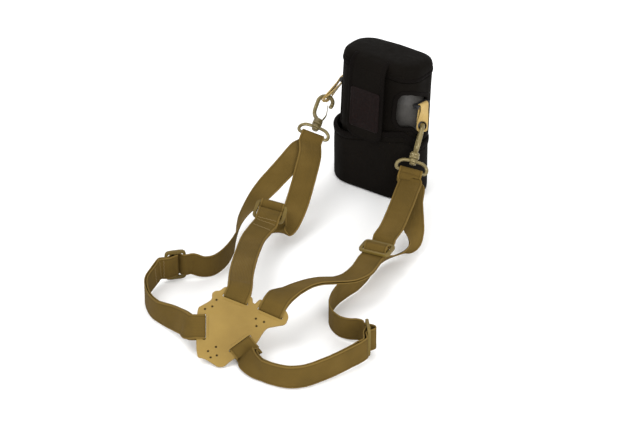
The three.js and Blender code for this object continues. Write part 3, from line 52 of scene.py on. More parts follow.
    "right": [(-20.32, -143.93, 35.31, 0.908, -0.321, -0.2693), (-20.32, -145.31, 36.96, 0.908, -0.321, -0.2693), (-20.11, -145.89, 38.36, 0.908, -0.321, -0.2693), (-19.32, -145.02, 40.01, 0.908, -0.321, -0.2693), (-17.3, -141.72, 42.85, 0.908, -0.321, -0.2693), (-15.63, -138.93, 45.18, 0.9092, -0.3186, -0.2681), (-14.27, -135.59, 45.85, 0.9136, -0.3264, -0.2426), (-12.67, -131.29, 46.05, 0.9048, -0.3617, -0.2247), (-10.92, -127.26, 45.95, 0.8646, -0.4597, -0.2027), (-8.42, -122.97, 45.3, 0.831, -0.5468, -0.1019), (-5.65, -118.98, 44.43, 0.8048, -0.5935, -0.0042), (-2.42, -114.83, 43.77, 0.7782, -0.6207, 0.0958), (1, -110.82, 43.23, 0.7503, -0.6323, 0.193), (4.3, -107.12, 42.87, 0.7234, -0.6543, 0.2205), (7.73, -103.6, 42.59, 0.6882, -0.6818, 0.2479), (11.28, -100.28, 42.32, 0.6453, -0.7136, 0.2725), (14.97, -97.25, 42.07, 0.5883, -0.7522, 0.2967), (18.6, -94.76, 41.81, 0.5235, -0.7951, 0.3062), (22.35, -92.59, 41.56, 0.4662, -0.8273, 0.3133), (26.17, -90.69, 41.3, 0.3994, -0.8591, 0.32), (30.08, -89.18, 41.04, 0.2908, -0.8993, 0.3266), (33.86, -88.38, 40.79, 0.1866, -0.9227, 0.3373), (37.66, -87.84, 40.54, 0.1544, -0.9273, 0.341), (41.41, -87.31, 40.28, 0.169, -0.9231, 0.3454), (45.1, -86.66, 40.03, 0.2745, -0.8985, 0.3426), (52.09, -84.33, 39.55, 0.3985, -0.8744, 0.2767), (58.55, -80.84, 39.08, 0.5344, -0.8208, 0.2015), (61.61, -78.29, 38.89, 0.6786, -0.7167, 0.1609), (64.45, -75.33, 38.69, 0.757, -0.6418, 0.1227), (67.22, -71.77, 38.43, 0.8189, -0.5681, 0.081), (69.64, -67.94, 38.11, 0.8728, -0.4866, 0.0383), (71.46, -64.22, 37.68, 0.9144, -0.4043, 0.0223), (73.03, -60.31, 37.17, 0.9368, -0.3497, 0.0099), (74.66, -55.69, 36.56, 0.9484, -0.3171, 0.0016), (76.16, -50.96, 35.93, 0.9545, -0.298, -0.0048), (77.56, -46.38, 35.33, 0.9572, -0.2894, -0.0083), (78.82, -42.12, 34.77, 0.9574, -0.2885, -0.0108), (80.35, -37.05, 34.1, 0.9361, -0.3516, -0.0064), (82.57, -32.13, 33.7, 0.9121, -0.41, 0), (83.88, -29.21, 33.75, 0.9121, -0.41, 0), (84.86, -27.02, 35.9, 0.9121, -0.41, 0), (85.6, -25.38, 39.46, 0.9121, -0.41, 0), (86.59, -23.19, 41.35, 0.9121, -0.41, 0), (88.06, -19.91, 41.35, 0.9121, -0.41, 0), (89.09, -17.63, 39.46, 0.9121, -0.41, 0), (89.91, -15.8, 35.9, 0.9121, -0.41, 0), (90.89, -13.61, 33.75, 0.9121, -0.41, 0), (92.08, -10.97, 33.7, 0.9121, -0.41, 0), (94.29, -6.04, 34.3, 0.9204, -0.3909, 0.0082), (95.62, -2.55, 37.3, 0.9336, -0.3551, -0.047), (97.05, 0.69, 38.1, 0.9141, -0.3992, -0.0708), (98.98, 4.94, 38.44, 0.9123, -0.4017, -0.0794), (101.11, 9.81, 38.64, 0.922, -0.3764, -0.091), (103.12, 14.95, 39, 0.936, -0.3366, -0.1033), (104.59, 19.22, 39.48, 0.948, -0.2993, -0.1083), (106.07, 23.91, 40.04, 0.9534, -0.2792, -0.1144), (107.55, 28.87, 40.65, 0.9566, -0.2649, -0.1211), (109.02, 33.98, 41.27, 0.9584, -0.2549, -0.1283), (110.45, 39.12, 41.89, 0.9591, -0.2483, -0.1359), (111.82, 44.15, 42.48, 0.9588, -0.245, -0.1438), (113.12, 48.95, 43, 0.9581, -0.243, -0.1518), (114.43, 53.79, 43.51, 0.9579, -0.2384, -0.1601), (115.68, 58.54, 44.01, 0.9582, -0.2317, -0.1681), (116.88, 63.23, 44.48, 0.9585, -0.2244, -0.1757), (118.02, 67.85, 44.9, 0.9589, -0.2168, -0.1828), (119.11, 72.43, 45.25, 0.9594, -0.209, -0.1893), (120.12, 76.95, 45.5, 0.9576, -0.2126, -0.1946), (121.38, 82.37, 45.57, 0.9549, -0.2254, -0.1934), (122.77, 88.2, 45.44, 0.9554, -0.2235, -0.1933), (123.98, 93.72, 45.28, 0.9621, -0.1895, -0.196), (124.7, 98.21, 45.24, 0.9768, -0.0815, -0.1982), (124.62, 100.95, 45.5, 0.9205, 0.3808, -0.0873), (123.25, 101.97, 46.32, 0.9971, 0.0687, -0.0325), (124.47, 105.24, 49.9, 0.9677, -0.1196, -0.2219), (125.45, 107.85, 52.76, 0.9677, -0.1196, -0.2219), (125.92, 109.86, 53.73, 0.9677, -0.1196, -0.2219), (126, 111.99, 52.92, 0.9677, -0.1196, -0.2219), (125.67, 113.03, 50.92, 0.9677, -0.1196, -0.2219), (125.1, 112.26, 48.85, 0.9677, -0.1196, -0.2219), (124.12, 109.65, 45.99, 0.9677, -0.1196, -0.2219), (122.9, 106.38, 42.41, 0.9854, 0.1544, -0.0723), (125.04, 101.61, 41.37, 0.8994, 0.4062, -0.1614), (127.52, 95.45, 40.7, 0.9545, 0.2524, -0.1591), (127.63, 90.75, 39.69, 0.9841, -0.0141, -0.177), (126.98, 85.49, 38.46, 0.9774, -0.0948, -0.1891), (126.1, 80.01, 37.12, 0.9795, -0.0868, -0.1818), (125.52, 74.65, 35.8, 0.9864, -0.0266, -0.1622), (125.38, 69.42, 34.52, 0.9894, 0.0229, -0.1435), (125.39, 64.16, 33.22, 0.9905, 0.0434, -0.1305), (125.49, 58.97, 31.89, 0.9915, 0.054, -0.1184), (125.62, 53.95, 30.5, 0.9924, 0.0642, -0.1053), (125.82, 49.51, 29.19, 0.9822, 0.1008, -0.1584), (126.09, 45.18, 27.83, 0.9684, 0.1275, -0.2143), (126.34, 40.98, 26.44, 0.952, 0.1331, -0.2756), (126.42, 36.95, 25, 0.9315, 0.1401, -0.3356), (126.45, 32.41, 23.18, 0.8766, 0.1765, -0.4477), (126.31, 28.09, 21.29, 0.795, 0.1751, -0.5808), (125.62, 23.95, 19.5, 0.6649, 0.144, -0.7329), (124.29, 20.04, 17.87, 0.4538, 0.1729, -0.8742), (122.44, 16.29, 16.33, 0.1458, 0.2968, -0.9438), (120.12, 12.95, 15, -0.2098, 0.5247, -0.8251), (115.93, 9.27, 13.52, -0.3187, 0.6546, -0.6855), (111.12, 5.95, 12.5, -0.3858, 0.7017, -0.599), (107.52, 3.45, 12.12, -0.4297, 0.6849, -0.5884), (103.76, 0.89, 11.98, -0.4729, 0.6488, -0.5962), (100.12, -2.05, 12, -0.5418, 0.5659, -0.6215), (96.3, -5.99, 12.23, -0.5359, 0.4253, -0.7294), (92.63, -10.4, 12.64, -0.4878, 0.3169, -0.8134), (89.12, -15.05, 13, -0.4196, 0.2434, -0.8744), (86.54, -18.89, 13.2, -0.3565, 0.1849, -0.9158), (84.1, -22.92, 13.37, -0.2945, 0.1407, -0.9452), (81.67, -27.02, 13.5, -0.2332, 0.115, -0.9656), (79.12, -31.05, 13.6, -0.1715, 0.0956, -0.9805), (76.36, -35.12, 13.64, -0.1247, 0.0816, -0.9888), (73.5, -39.18, 13.64, -0.0797, 0.0607, -0.995), (70.57, -43.18, 13.61, -0.0381, 0.0333, -0.9987), (67.62, -47.05, 13.6, 0.001, 0.0012, -1), (64.75, -50.51, 13.6, 0, 0, -1), (61.81, -53.83, 13.6, 0, 0, -1), (58.9, -57.13, 13.6, 0, 0, -1), (56.12, -60.55, 13.6, 0, 0, -1), (53.47, -64.05, 13.6, 0, 0, -1), (50.89, -67.59, 13.6, 0, 0, -1), (48.48, -71.24, 13.6, 0, 0, -1), (46.32, -75.05, 13.6, 0, 0, -1), (44.4, -79.14, 13.6, 0, 0, -1), (42.71, -83.41, 13.6, 0, 0, -1), (41.27, -87.75, 13.6, 0, 0, -1), (40.12, -92.05, 13.6, 0.0002, 0.0007, -1), (39.02, -97.41, 13.59, 0.0002, 0.0014, -1), (38.35, -102.77, 13.58, 0, -0.0007, -1), (38.32, -108.05, 13.6, 0.0003, -0.0045, -1), (39.01, -113.21, 13.63, 0.0016, -0.008, -1), (40.3, -118.29, 13.69, 0.0049, -0.0155, -0.9999), (42.12, -123.05, 13.8, 0.0114, -0.0251, -0.9996), (44.39, -127.27, 13.96, 0.0202, -0.0329, -0.9993), (47.13, -131.19, 14.17, 0.0362, -0.0459, -0.9983), (50.12, -134.55, 14.5, 0.0732, -0.0668, -0.9951), (54.52, -137.93, 15.17, 0.1143, -0.0762, -0.9905), (59.12, -140.55, 16, 0.1594, -0.0798, -0.984), (63.28, -142.32, 16.94, 0.185, -0.0809, -0.9794), (67.12, -144.05, 17.8, 0.1196, -0.0802, -0.9896), (72.18, -148.29, 18.5, 0.0472, -0.0623, -0.9969), (72.52, -151.17, 18.5, 0, 0, -1), (74.9, -153.34, 18.5, 0, 0, -1), (80.31, -154.81, 18.5, 0, 0, -1), (83.56, -156.99, 18.5, 0, 0, -1), (83.92, -160.57, 18.5, 0, 0, -1), (81.16, -163.26, 18.5, 0, 0, -1), (76.13, -165.58, 18.5, 0, 0, -1), (74.23, -168.18, 18.5, 0, 0, -1), (74.5, -171.37, 18.5, 0, 0, -1), (75.44, -176.7, 18.5, 0.0165, 0.1147, -0.9933), (73.34, -179.42, 17.55, 0.1901, 0.1852, -0.9641), (70.34, -181.88, 16.5, 0.1164, 0.1093, -0.9872), (65.08, -185.9, 15.86, 0.0542, 0.0456, -0.9975), (59.21, -190.51, 15.5, 0.0405, 0.0329, -0.9986), (55.65, -193.33, 15.23, 0.0459, 0.0365, -0.9983), (51.97, -196.22, 14.96, 0.0432, 0.0338, -0.9985), (48.19, -199.12, 14.71, 0.0384, 0.0292, -0.9988), (44.4, -201.96, 14.5, 0.0336, 0.0248, -0.9991), (40.75, -204.58, 14.33, 0.0282, 0.0202, -0.9994), (37.09, -207.12, 14.19, 0.0234, 0.016, -0.9996), (33.42, -209.57, 14.08, 0.0178, 0.012, -0.9998), (29.74, -211.98, 14, 0.0101, 0.0067, -0.9999), (26.15, -214.4, 13.97, 0.0029, 0.0019, -1), (22.52, -216.71, 13.97, -0.0012, -0.0007, -1), (18.82, -218.81, 13.98, -0.0032, -0.0016, -1), (15.04, -220.59, 14, -0.0021, -0.0009, -1), (11.35, -221.83, 14, 0, -0.0001, -1), (7.61, -222.67, 14, 0.0002, 0, -1), (3.83, -223.16, 14, 0, 0, -1), (0.04, -223.19, 14, 0, 0, -1), (-3.82, -222.59, 14, 0, 0, -1), (-7.62, -221.57, 14, 0.0002, -0.0001, -1), (-11.31, -220.22, 14, 0, 0.0001, -1), (-14.89, -218.64, 14, -0.0026, 0.0013, -1), (-21.33, -215.28, 14.03, 0, 0, -1), (-27.26, -211.08, 14, -0.0012, -0.0001, -1), (-30.06, -208.58, 14.04, -0.0728, -0.0583, -0.9956), (-32.67, -205.86, 14.09, -0.1426, -0.1157, -0.983), (-35.07, -202.97, 14.11, -0.22, -0.1627, -0.9618), (-37.27, -199.89, 14.13, -0.3096, -0.1895, -0.9318), (-39.36, -196.52, 14.22, -0.3958, -0.2033, -0.8955), (-41.15, -192.98, 14.28, -0.4752, -0.2209, -0.8517), (-42.72, -189.34, 14.24, -0.5439, -0.1963, -0.8159), (-43.51, -185.75, 14.11, -0.5948, 0.0284, -0.8034), (-41.53, -180, 13.68, -0.8451, 0.0753, -0.5293), (-41.79, -177.9, 12.48, -0.8186, -0.4309, -0.3797), (-45.31, -174.37, 15.45, -0.7948, -0.4649, -0.3901), (-48.23, -171.41, 17.86, -0.7948, -0.4649, -0.3901), (-49.38, -169.81, 18.3, -0.7948, -0.4649, -0.3901), (-49.68, -168.57, 17.44, -0.7948, -0.4649, -0.3901), (-49.68, -167.19, 15.79, -0.7948, -0.4649, -0.3901)],
    "sewn_left_lower": [(-83.98, -154.15, 26.28, 0, 0.766, 0.6428), (-84.18, -153.7, 25.74, 0, 0.766, 0.6428), (-85.08, -153.31, 25.28, 0, 0.766, 0.6428), (-87.18, -153.44, 25.44, 0, 0.766, 0.6428), (-91.18, -153.63, 25.67, 0, 0.766, 0.6428), (-93.78, -153.7, 25.74, 0.1697, 0.7018, 0.6918), (-97.84, -150.57, 24.19, 0.2897, 0.4865, 0.8243), (-100.76, -146.65, 24.04, 0.3517, 0.2704, 0.8962), (-103.59, -142.34, 23.97, 0.2263, 0.2896, 0.93), (-107.84, -136.35, 22.55, 0.1515, 0.3431, 0.927), (-110.24, -132.9, 21.56, 0.1222, 0.3573, 0.9259), (-112.69, -129.42, 20.52, 0.1082, 0.3498, 0.9306), (-115.07, -126.14, 19.58, 0.0963, 0.3338, 0.9377), (-117.62, -122.9, 18.7, 0.0867, 0.3154, 0.945), (-120.79, -119.41, 17.86, 0.0441, 0.2614, 0.9642), (-124.1, -115.94, 17.12, 0.0052, 0.2013, 0.9795), (-127.24, -112.66, 16.51, -0.0296, 0.1398, 0.9897), (-130.23, -109.34, 16, -0.0656, 0.0786, 0.9947), (-132.8, -106.07, 15.62, -0.0495, 0.0642, 0.9967), (-135.16, -102.7, 15.33, -0.0327, 0.0498, 0.9982), (-137.33, -99.23, 15.13, -0.0205, 0.0341, 0.9992), (-139.28, -95.58, 15, -0.0101, 0.0215, 0.9997), (-141.08, -91.33, 14.92, -0.0048, 0.01, 0.9999), (-142.6, -86.9, 14.9, 0.0003, -0.001, 1), (-143.84, -82.38, 14.93, 0.0021, -0.0108, 0.9999), (-144.79, -77.85, 15, 0.003, -0.0165, 0.9999), (-145.42, -73.71, 15.08, 0.002, -0.0221, 0.9998), (-145.76, -69.62, 15.18, 0.0013, -0.0305, 0.9995), (-145.8, -65.61, 15.33, -0.0027, -0.0398, 0.9992), (-145.48, -61.7, 15.5, -0.0079, -0.0533, 0.9985), (-143.65, -54.82, 15.92, -0.0219, -0.0653, 0.9976), (-140.81, -48, 16.5, -0.035, -0.0828, 0.9959), (-138.86, -43.53, 17.03, -0.0489, -0.1033, 0.9935), (-136.92, -39.16, 17.61, -0.0602, -0.1176, 0.9912), (-134.4, -33.39, 18.5, -0.0629, -0.0517, 0.9967), (-128.5, -32.24, 18.5, 0, 0, 1), (-124.45, -31.13, 18.5, 0, 0, 1), (-121.51, -28.86, 18.5, 0, 0, 1), (-119.07, -27.07, 18.5, 0, 0, 1), (-116.91, -25.81, 18.5, 0, 0, 1), (-116.45, -23.9, 18.5, 0, 0, 1), (-117.75, -22.42, 18.5, 0, 0, 1), (-119.65, -22.22, 18.5, 0, 0, 1), (-121.11, -22.58, 18.5, 0, 0, 1)],
    "sewn_left_upper": [(-54.56, -133.18, 44.33, 0.9282, -0.285, -0.2392), (-54.56, -134.56, 45.98, 0.9282, -0.285, -0.2392), (-54.37, -135.13, 47.39, 0.9282, -0.285, -0.2392), (-53.66, -134.23, 49.06, 0.9282, -0.285, -0.2392), (-51.88, -130.85, 51.96, 0.9282, -0.285, -0.2392), (-50.39, -128.01, 54.35, 0.9609, -0.1968, -0.1948), (-49.73, -123.89, 55.5, 0.9767, -0.0728, -0.202), (-49.4, -119.22, 55.95, 0.9808, -0.0387, -0.1914), (-49.44, -112.32, 54.67, 0.9809, -0.0284, -0.1924), (-49.47, -108.34, 54, 0.9837, -0.0246, -0.1781), (-49.48, -104.26, 53.35, 0.9863, -0.0296, -0.1623), (-49.43, -100.13, 52.73, 0.9891, -0.0382, -0.1422), (-49.33, -95.91, 52.13, 0.9913, -0.0504, -0.1215), (-49.13, -91.15, 51.51, 0.9927, -0.062, -0.103), (-48.86, -86.28, 50.88, 0.9939, -0.0697, -0.085), (-48.54, -81.27, 50.21, 0.9949, -0.0755, -0.0676), (-48.19, -76.21, 49.52, 0.9955, -0.0809, -0.0503), (-47.78, -71.01, 48.8, 0.9958, -0.0858, -0.0328), (-47.35, -65.9, 48.09, 0.9957, -0.0912, -0.0152), (-46.93, -61.55, 47.49, 0.995, -0.0992, -0.0141), (-46.5, -57.28, 46.9, 0.9944, -0.1049, -0.0134), (-46.03, -52.86, 46.28, 0.9939, -0.1098, -0.0128), (-45.54, -48.42, 45.65, 0.9933, -0.115, -0.0122), (-45.02, -43.97, 45.02, 0.9927, -0.1203, -0.0116), (-44.48, -39.54, 44.38, 0.9919, -0.1266, -0.0108), (-43.91, -35.18, 43.74, 0.9912, -0.1317, -0.0105), (-43.34, -30.88, 43.09, 0.9911, -0.1324, -0.0108), (-42.82, -26.88, 42.43, 0.9907, -0.1337, -0.0238), (-42.3, -22.93, 41.74, 0.9902, -0.1343, -0.037), (-41.8, -19.02, 41.01, 0.9891, -0.1389, -0.0488), (-41.28, -15.13, 40.29, 0.9865, -0.1527, -0.0589), (-40.69, -11.29, 39.62, 0.9824, -0.1739, -0.0677), (-40.01, -7.49, 39, 0.9768, -0.2003, -0.0755), (-39.24, -3.81, 38.51, 0.9675, -0.2378, -0.0856), (-38.25, 0.01, 38.12, 0.9505, -0.2964, -0.0929), (-36.49, 5.28, 37.73, 0.9335, -0.3415, -0.1091), (-34.4, 10.74, 37.48, 0.9187, -0.3744, -0.1261), (-32.09, 16.18, 37.39, 0.9063, -0.3961, -0.1476), (-29.82, 21.24, 37.41, 0.8985, -0.4049, -0.1695), (-27, 27.39, 37.61, 0.9263, -0.3073, -0.2179), (-25.4, 32.53, 40.27, 0.9613, -0.1999, -0.1898), (-24.31, 36.27, 41.86, 0.9613, -0.1999, -0.1898), (-23.55, 39.9, 41.87, 0.9613, -0.1999, -0.1898), (-22.92, 42.86, 41.96, 0.9613, -0.1999, -0.1898), (-22.35, 45.27, 42.29, 0.9613, -0.1999, -0.1898), (-22.27, 46.82, 41.08, 0.9613, -0.1999, -0.1898), (-22.66, 46.79, 39.15, 0.9613, -0.1999, -0.1898), (-23.18, 45.49, 37.85, 0.9613, -0.1999, -0.1898), (-23.58, 44.17, 37.25, 0.9613, -0.1999, -0.1898)],
    "sewn_right_upper": [(-20.32, -143.7, 35.04, 0.908, -0.321, -0.2693), (-20.24, -143.11, 34.62, 0.908, -0.321, -0.2693), (-19.86, -142.1, 34.69, 0.908, -0.321, -0.2693), (-18.98, -140.77, 36.07, 0.908, -0.321, -0.2693), (-17.3, -138.18, 38.63, 0.908, -0.321, -0.2693), (-15.63, -135.46, 41.04, 0.9004, -0.3367, -0.2756), (-13.96, -131.42, 41.31, 0.8895, -0.3911, -0.2364), (-11.83, -126.83, 41.05, 0.8449, -0.4956, -0.2014), (-9, -122.92, 41.21, 0.7833, -0.6128, -0.1041), (-5.8, -119.16, 41.3, 0.7572, -0.6532, 0.0005), (-2.32, -115.18, 41.08, 0.7453, -0.6593, 0.0994), (1.25, -111.27, 40.77, 0.7304, -0.6546, 0.195), (4.61, -107.6, 40.56, 0.7149, -0.6633, 0.2214), (8.04, -104.09, 40.36, 0.6818, -0.6881, 0.2484), (11.6, -100.83, 40.15, 0.6376, -0.7204, 0.2731), (15.28, -97.85, 39.93, 0.5832, -0.7561, 0.2971), (18.87, -95.4, 39.7, 0.5215, -0.7964, 0.3063), (22.56, -93.26, 39.46, 0.4657, -0.8276, 0.3134), (26.32, -91.39, 39.21, 0.3993, -0.8591, 0.32), (30.17, -89.91, 38.96, 0.2897, -0.8996, 0.3267), (33.9, -89.13, 38.72, 0.1843, -0.9231, 0.3375), (37.65, -88.6, 38.47, 0.1505, -0.9278, 0.3413), (41.42, -88.09, 38.22, 0.1664, -0.9235, 0.3455), (45.15, -87.43, 37.97, 0.2406, -0.9073, 0.3448), (48.74, -86.35, 37.71, 0.3367, -0.8888, 0.3108), (52.21, -84.94, 37.44, 0.4543, -0.8481, 0.2728), (58.7, -81.26, 36.92, 0.5504, -0.8105, 0.2004), (61.76, -78.64, 36.71, 0.6907, -0.7052, 0.1601), (64.57, -75.61, 36.5, 0.7681, -0.6286, 0.1218), (67.27, -72, 36.23, 0.8287, -0.554, 0.0799), (69.61, -68.16, 35.89, 0.8779, -0.4774, 0.0373), (71.41, -64.45, 35.46, 0.9157, -0.4012, 0.0219), (72.96, -60.58, 34.94, 0.9375, -0.3479, 0.0096), (74.57, -55.97, 34.31, 0.949, -0.3154, 0.0013), (76.06, -51.25, 33.64, 0.955, -0.2965, -0.0051), (77.44, -46.68, 32.97, 0.9575, -0.2883, -0.0087), (78.71, -42.4, 32.35, 0.9567, -0.2909, -0.0106), (80.35, -37.05, 31.6, 0.9348, -0.3551, -0.0054), (82.81, -31.58, 31.3, 0.9121, -0.41, 0), (84.54, -27.75, 31.4, 0.9121, -0.41, 0), (85.93, -24.65, 32.9, 0.9121, -0.41, 0), (87.08, -22.1, 34.05, 0.9121, -0.41, 0), (88.06, -19.91, 34.75, 0.9121, -0.41, 0), (88.43, -19.09, 36.5, 0.9121, -0.41, 0), (88.06, -19.91, 38.25, 0.9121, -0.41, 0), (87.32, -21.55, 38.9, 0.9121, -0.41, 0), (86.71, -22.92, 38.9, 0.9121, -0.41, 0)],
    "sewn_right_lower": [(-49.68, -166.96, 15.52, 0.7948, 0.4649, 0.3901), (-49.56, -166.64, 14.89, 0.7948, 0.4649, 0.3901), (-49.02, -166.8, 13.97, 0.7948, 0.4649, 0.3901), (-47.74, -168.21, 13.05, 0.7948, 0.4649, 0.3901), (-45.31, -170.83, 11.23, 0.7948, 0.4649, 0.3901), (-41.79, -174.43, 8.35, 0.8083, 0.447, 0.3833), (-38.04, -180.71, 7.42, 0.8513, 0.2775, 0.4452), (-39.24, -186.34, 10.89, 0.6112, 0.3212, 0.7233), (-37.77, -191.72, 12.08, 0.4353, 0.3155, 0.8432), (-34.48, -198.2, 12.87, 0.2602, 0.2677, 0.9277), (-30.41, -203.93, 13.54, 0.0897, 0.1772, 0.9801), (-25.49, -209.01, 14, -0.0268, 0.0233, 0.9994), (-19.99, -213.12, 14.03, 0, 0, 1), (-13.87, -216.45, 14, 0.0027, -0.0013, 1), (-10.45, -218.01, 14, 0, 0, 1), (-6.93, -219.33, 14, -0.0002, 0, 1), (0.21, -220.91, 14, 0, 0, 1), (7.23, -220.45, 14, 0, 0, 1), (14.21, -218.51, 14, 0.0014, 0.0006, 1), (17.83, -216.81, 13.98, 0.0033, 0.0016, 1), (21.39, -214.79, 13.97, 0.0012, 0.0007, 1), (24.96, -212.51, 13.97, -0.0029, -0.0019, 1), (28.51, -210.12, 14, -0.0102, -0.0067, 0.9999), (32.17, -207.72, 14.08, -0.0179, -0.0121, 0.9998), (35.83, -205.28, 14.19, -0.0236, -0.0161, 0.9996), (39.45, -202.75, 14.33, -0.0285, -0.0204, 0.9994), (43.05, -200.14, 14.5, -0.0339, -0.025, 0.9991), (46.81, -197.3, 14.71, -0.0386, -0.0294, 0.9988), (50.53, -194.38, 14.96, -0.0434, -0.034, 0.9985), (54.16, -191.46, 15.23, -0.046, -0.0367, 0.9983), (57.64, -188.58, 15.5, -0.0408, -0.033, 0.9986), (63.26, -183.74, 15.86, -0.0549, -0.0462, 0.9974), (67.91, -179.22, 16.5, -0.1643, -0.1451, 0.9757), (72.95, -176.95, 18.5, -0.0958, -0.1899, 0.9771), (72.05, -171.01, 18.5, 0, 0, 1), (71.73, -166.82, 18.5, 0, 0, 1), (72.88, -163.29, 18.5, 0, 0, 1), (73.75, -160.39, 18.5, 0, 0, 1), (74.2, -157.93, 18.5, 0, 0, 1), (75.85, -156.86, 18.5, 0, 0, 1), (77.69, -157.58, 18.5, 0, 0, 1), (78.51, -159.31, 18.5, 0, 0, 1), (78.66, -160.8, 18.5, 0, 0, 1)],
    "tab_left": [(33.08, 205.27, 84.15, -0.5687, -0.6994, 0.4329), (34.78, 205.33, 86.47, -0.5607, -0.7054, 0.4336), (36.48, 205.45, 88.84, -0.5293, -0.7278, 0.436), (38.3, 205.76, 91.47, -0.4541, -0.7863, 0.419), (40.19, 206.16, 94.19, -0.4044, -0.8154, 0.4142), (41.64, 206.51, 96.21, -0.3692, -0.8312, 0.4156), (43.15, 206.88, 98.26, -0.3509, -0.8502, 0.3926), (44.67, 207.19, 100.37, -0.3459, -0.8704, 0.3504), (46.25, 207.42, 102.65, -0.3425, -0.8869, 0.3099), (47.84, 207.57, 104.98, -0.3432, -0.9028, 0.2593), (49.4, 207.58, 107.37, -0.3592, -0.9146, 0.1857), (51.04, 207.37, 110.2, -0.3919, -0.9103, 0.133), (52.65, 207.01, 113.1, -0.407, -0.9081, 0.0987), (53.98, 206.59, 115.13, -0.424, -0.9041, 0.0524), (55.15, 206.01, 116.06, -0.4537, -0.891, 0.0166), (56.56, 205.29, 115.8, -0.4537, -0.891, 0.0166), (57.38, 204.85, 114.49, -0.4537, -0.891, 0.0166), (57.13, 204.94, 112.91, -0.4378, -0.8971, 0.0587), (55.94, 205.31, 110.78, -0.4067, -0.9088, 0.0935), (54.06, 205.82, 108.08, -0.3794, -0.9165, 0.1265), (52.13, 206.15, 105.45, -0.3347, -0.9229, 0.1902), (50.4, 206.14, 103.19, -0.3118, -0.9066, 0.2844), (48.63, 205.96, 101, -0.3096, -0.8869, 0.3429), (46.87, 205.71, 98.87, -0.3183, -0.8669, 0.3836), (45.19, 205.41, 96.89, -0.3296, -0.8422, 0.4268), (43.51, 205.05, 94.98, -0.3534, -0.8172, 0.4553), (41.88, 204.72, 93.1, -0.3959, -0.7909, 0.4667), (39.67, 204.37, 90.57, -0.4557, -0.7485, 0.4817), (37.59, 204.11, 88.09, -0.5344, -0.698, 0.4767), (35.85, 203.99, 85.74, -0.5607, -0.7054, 0.4336), (34.19, 203.93, 83.39, -0.5673, -0.7069, 0.4223)],
    "tab_right": [(137.57, 141.45, 81.78, 0.9995, -0.0289, -0.0143), (137.63, 141.97, 84.66, 0.9992, -0.0315, -0.0249), (137.74, 142.47, 87.48, 0.997, -0.0414, -0.0651), (138.01, 142.85, 89.95, 0.9871, 0.0873, -0.1346), (138.35, 143.23, 92.4, 0.9594, 0.2186, -0.1781), (138.77, 143.76, 95.16, 0.9102, 0.3577, -0.2088), (139.2, 144.34, 98, 0.8424, 0.4903, -0.2236), (139.63, 144.99, 101.08, 0.7666, 0.6061, -0.212), (139.95, 145.57, 104.25, 0.6778, 0.7209, -0.1447), (140.13, 145.9, 108.03, 0.6819, 0.7273, -0.0772), (140.02, 146.24, 111.19, 0.6843, 0.7279, -0.0439), (139.49, 146.78, 112.6, 0.6815, 0.7314, -0.025), (138.38, 147.84, 113.07, 0.6815, 0.7314, -0.025), (137.33, 148.79, 112.31, 0.6815, 0.7314, -0.025), (136.96, 149.08, 110.77, 0.68, 0.7311, -0.0557), (137.04, 148.7, 107.62, 0.6851, 0.7244, -0.0768), (137.31, 148.02, 103.89, 0.6864, 0.7224, -0.0838), (137.47, 147.49, 100.68, 0.7758, 0.6266, -0.0743), (137.6, 146.9, 97.55, 0.8521, 0.5176, -0.077), (137.67, 146.26, 94.69, 0.9183, 0.3891, -0.0726), (137.72, 145.58, 91.93, 0.9652, 0.2573, -0.0471), (137.77, 144.94, 89.54, 0.9913, 0.1306, -0.0184), (137.79, 144.34, 87.15, 0.9998, -0.0181, -0.0056), (137.72, 143.81, 84.33, 0.9992, -0.0315, -0.0249), (137.62, 143.32, 81.44, 0.999, -0.0346, -0.03)],
}
OFF = np.array([29.1244, 108.9519, 0.0])          # row frame = drawing frame + OFF
TAU = 2 * math.pi


def unit(a):
    a = np.asarray(a, float)
    return a / (np.linalg.norm(a) + 1e-12)


# ------------------------------------------------------------ mesh helpers
class Build:
    """Collects closed shapes, in millimetres, for one object."""

    def __init__(self):
        self.v, self.f, self.uv, self.mi = [], [], [], []

    def add(self, v, f, uv=None, mi=0):
        o = len(self.v)
        self.v += [tuple(p) for p in v]
        self.f += [tuple(i + o for i in q) for q in f]
        self.uv += [tuple(p) for p in uv] if uv is not None else [(0.0, 0.0)] * len(v)
        self.mi += [mi] * len(f)
        return self

    def done(self, name, mats, body=None, node=None, slot=None, angle=None, bevel=None, sub=0, mods=(), tf=None, fix=True):
        v = np.array(self.v, float)
        if tf is not None:
            v = tf(v)
        me = bpy.data.meshes.new(name)
        me.from_pydata((v * MM).tolist(), [], self.f)
        me.polygons.foreach_set("material_index", self.mi)
        lay = me.uv_layers.new(name="UVMap")
        idx = np.empty(len(me.loops), np.int32)
        me.loops.foreach_get("vertex_index", idx)
        lay.data.foreach_set("uv", np.array(self.uv, np.float32)[idx].ravel())
        if fix:
            bm = bmesh.new()
            bm.from_mesh(me)
            bmesh.ops.remove_doubles(bm, verts=bm.verts, dist=1e-7)
            bmesh.ops.recalc_face_normals(bm, faces=bm.faces)
            bm.to_mesh(me)
            bm.free()
        ob = bpy.data.objects.new(name, me)
        SCN.collection.objects.link(ob)
        for m in mats if isinstance(mats, (list, tuple)) else [mats]:
            me.materials.append(m)
        if bevel:
            b = ob.modifiers.new("bevel", "BEVEL")
            b.width = bevel * MM
            b.segments = 2
            b.limit_method = "ANGLE"
            b.angle_limit = math.radians(38)
            b.harden_normals = False
        for m in mods:
            m(ob)
        if sub:
            s = ob.modifiers.new("sub", "SUBSURF")
            s.levels = s.render_levels = sub
        if ob.modifiers:
            bake(ob)
        ob.data.polygons.foreach_set("use_smooth", [True] * len(ob.data.polygons))
        if angle:
            ob.data.set_sharp_from_angle(angle=math.radians(angle))
        ob.data.update()
        if node:
            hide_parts(*([node] if isinstance(node, str) else node))
        if body:
            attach(ob, body)
        return ob


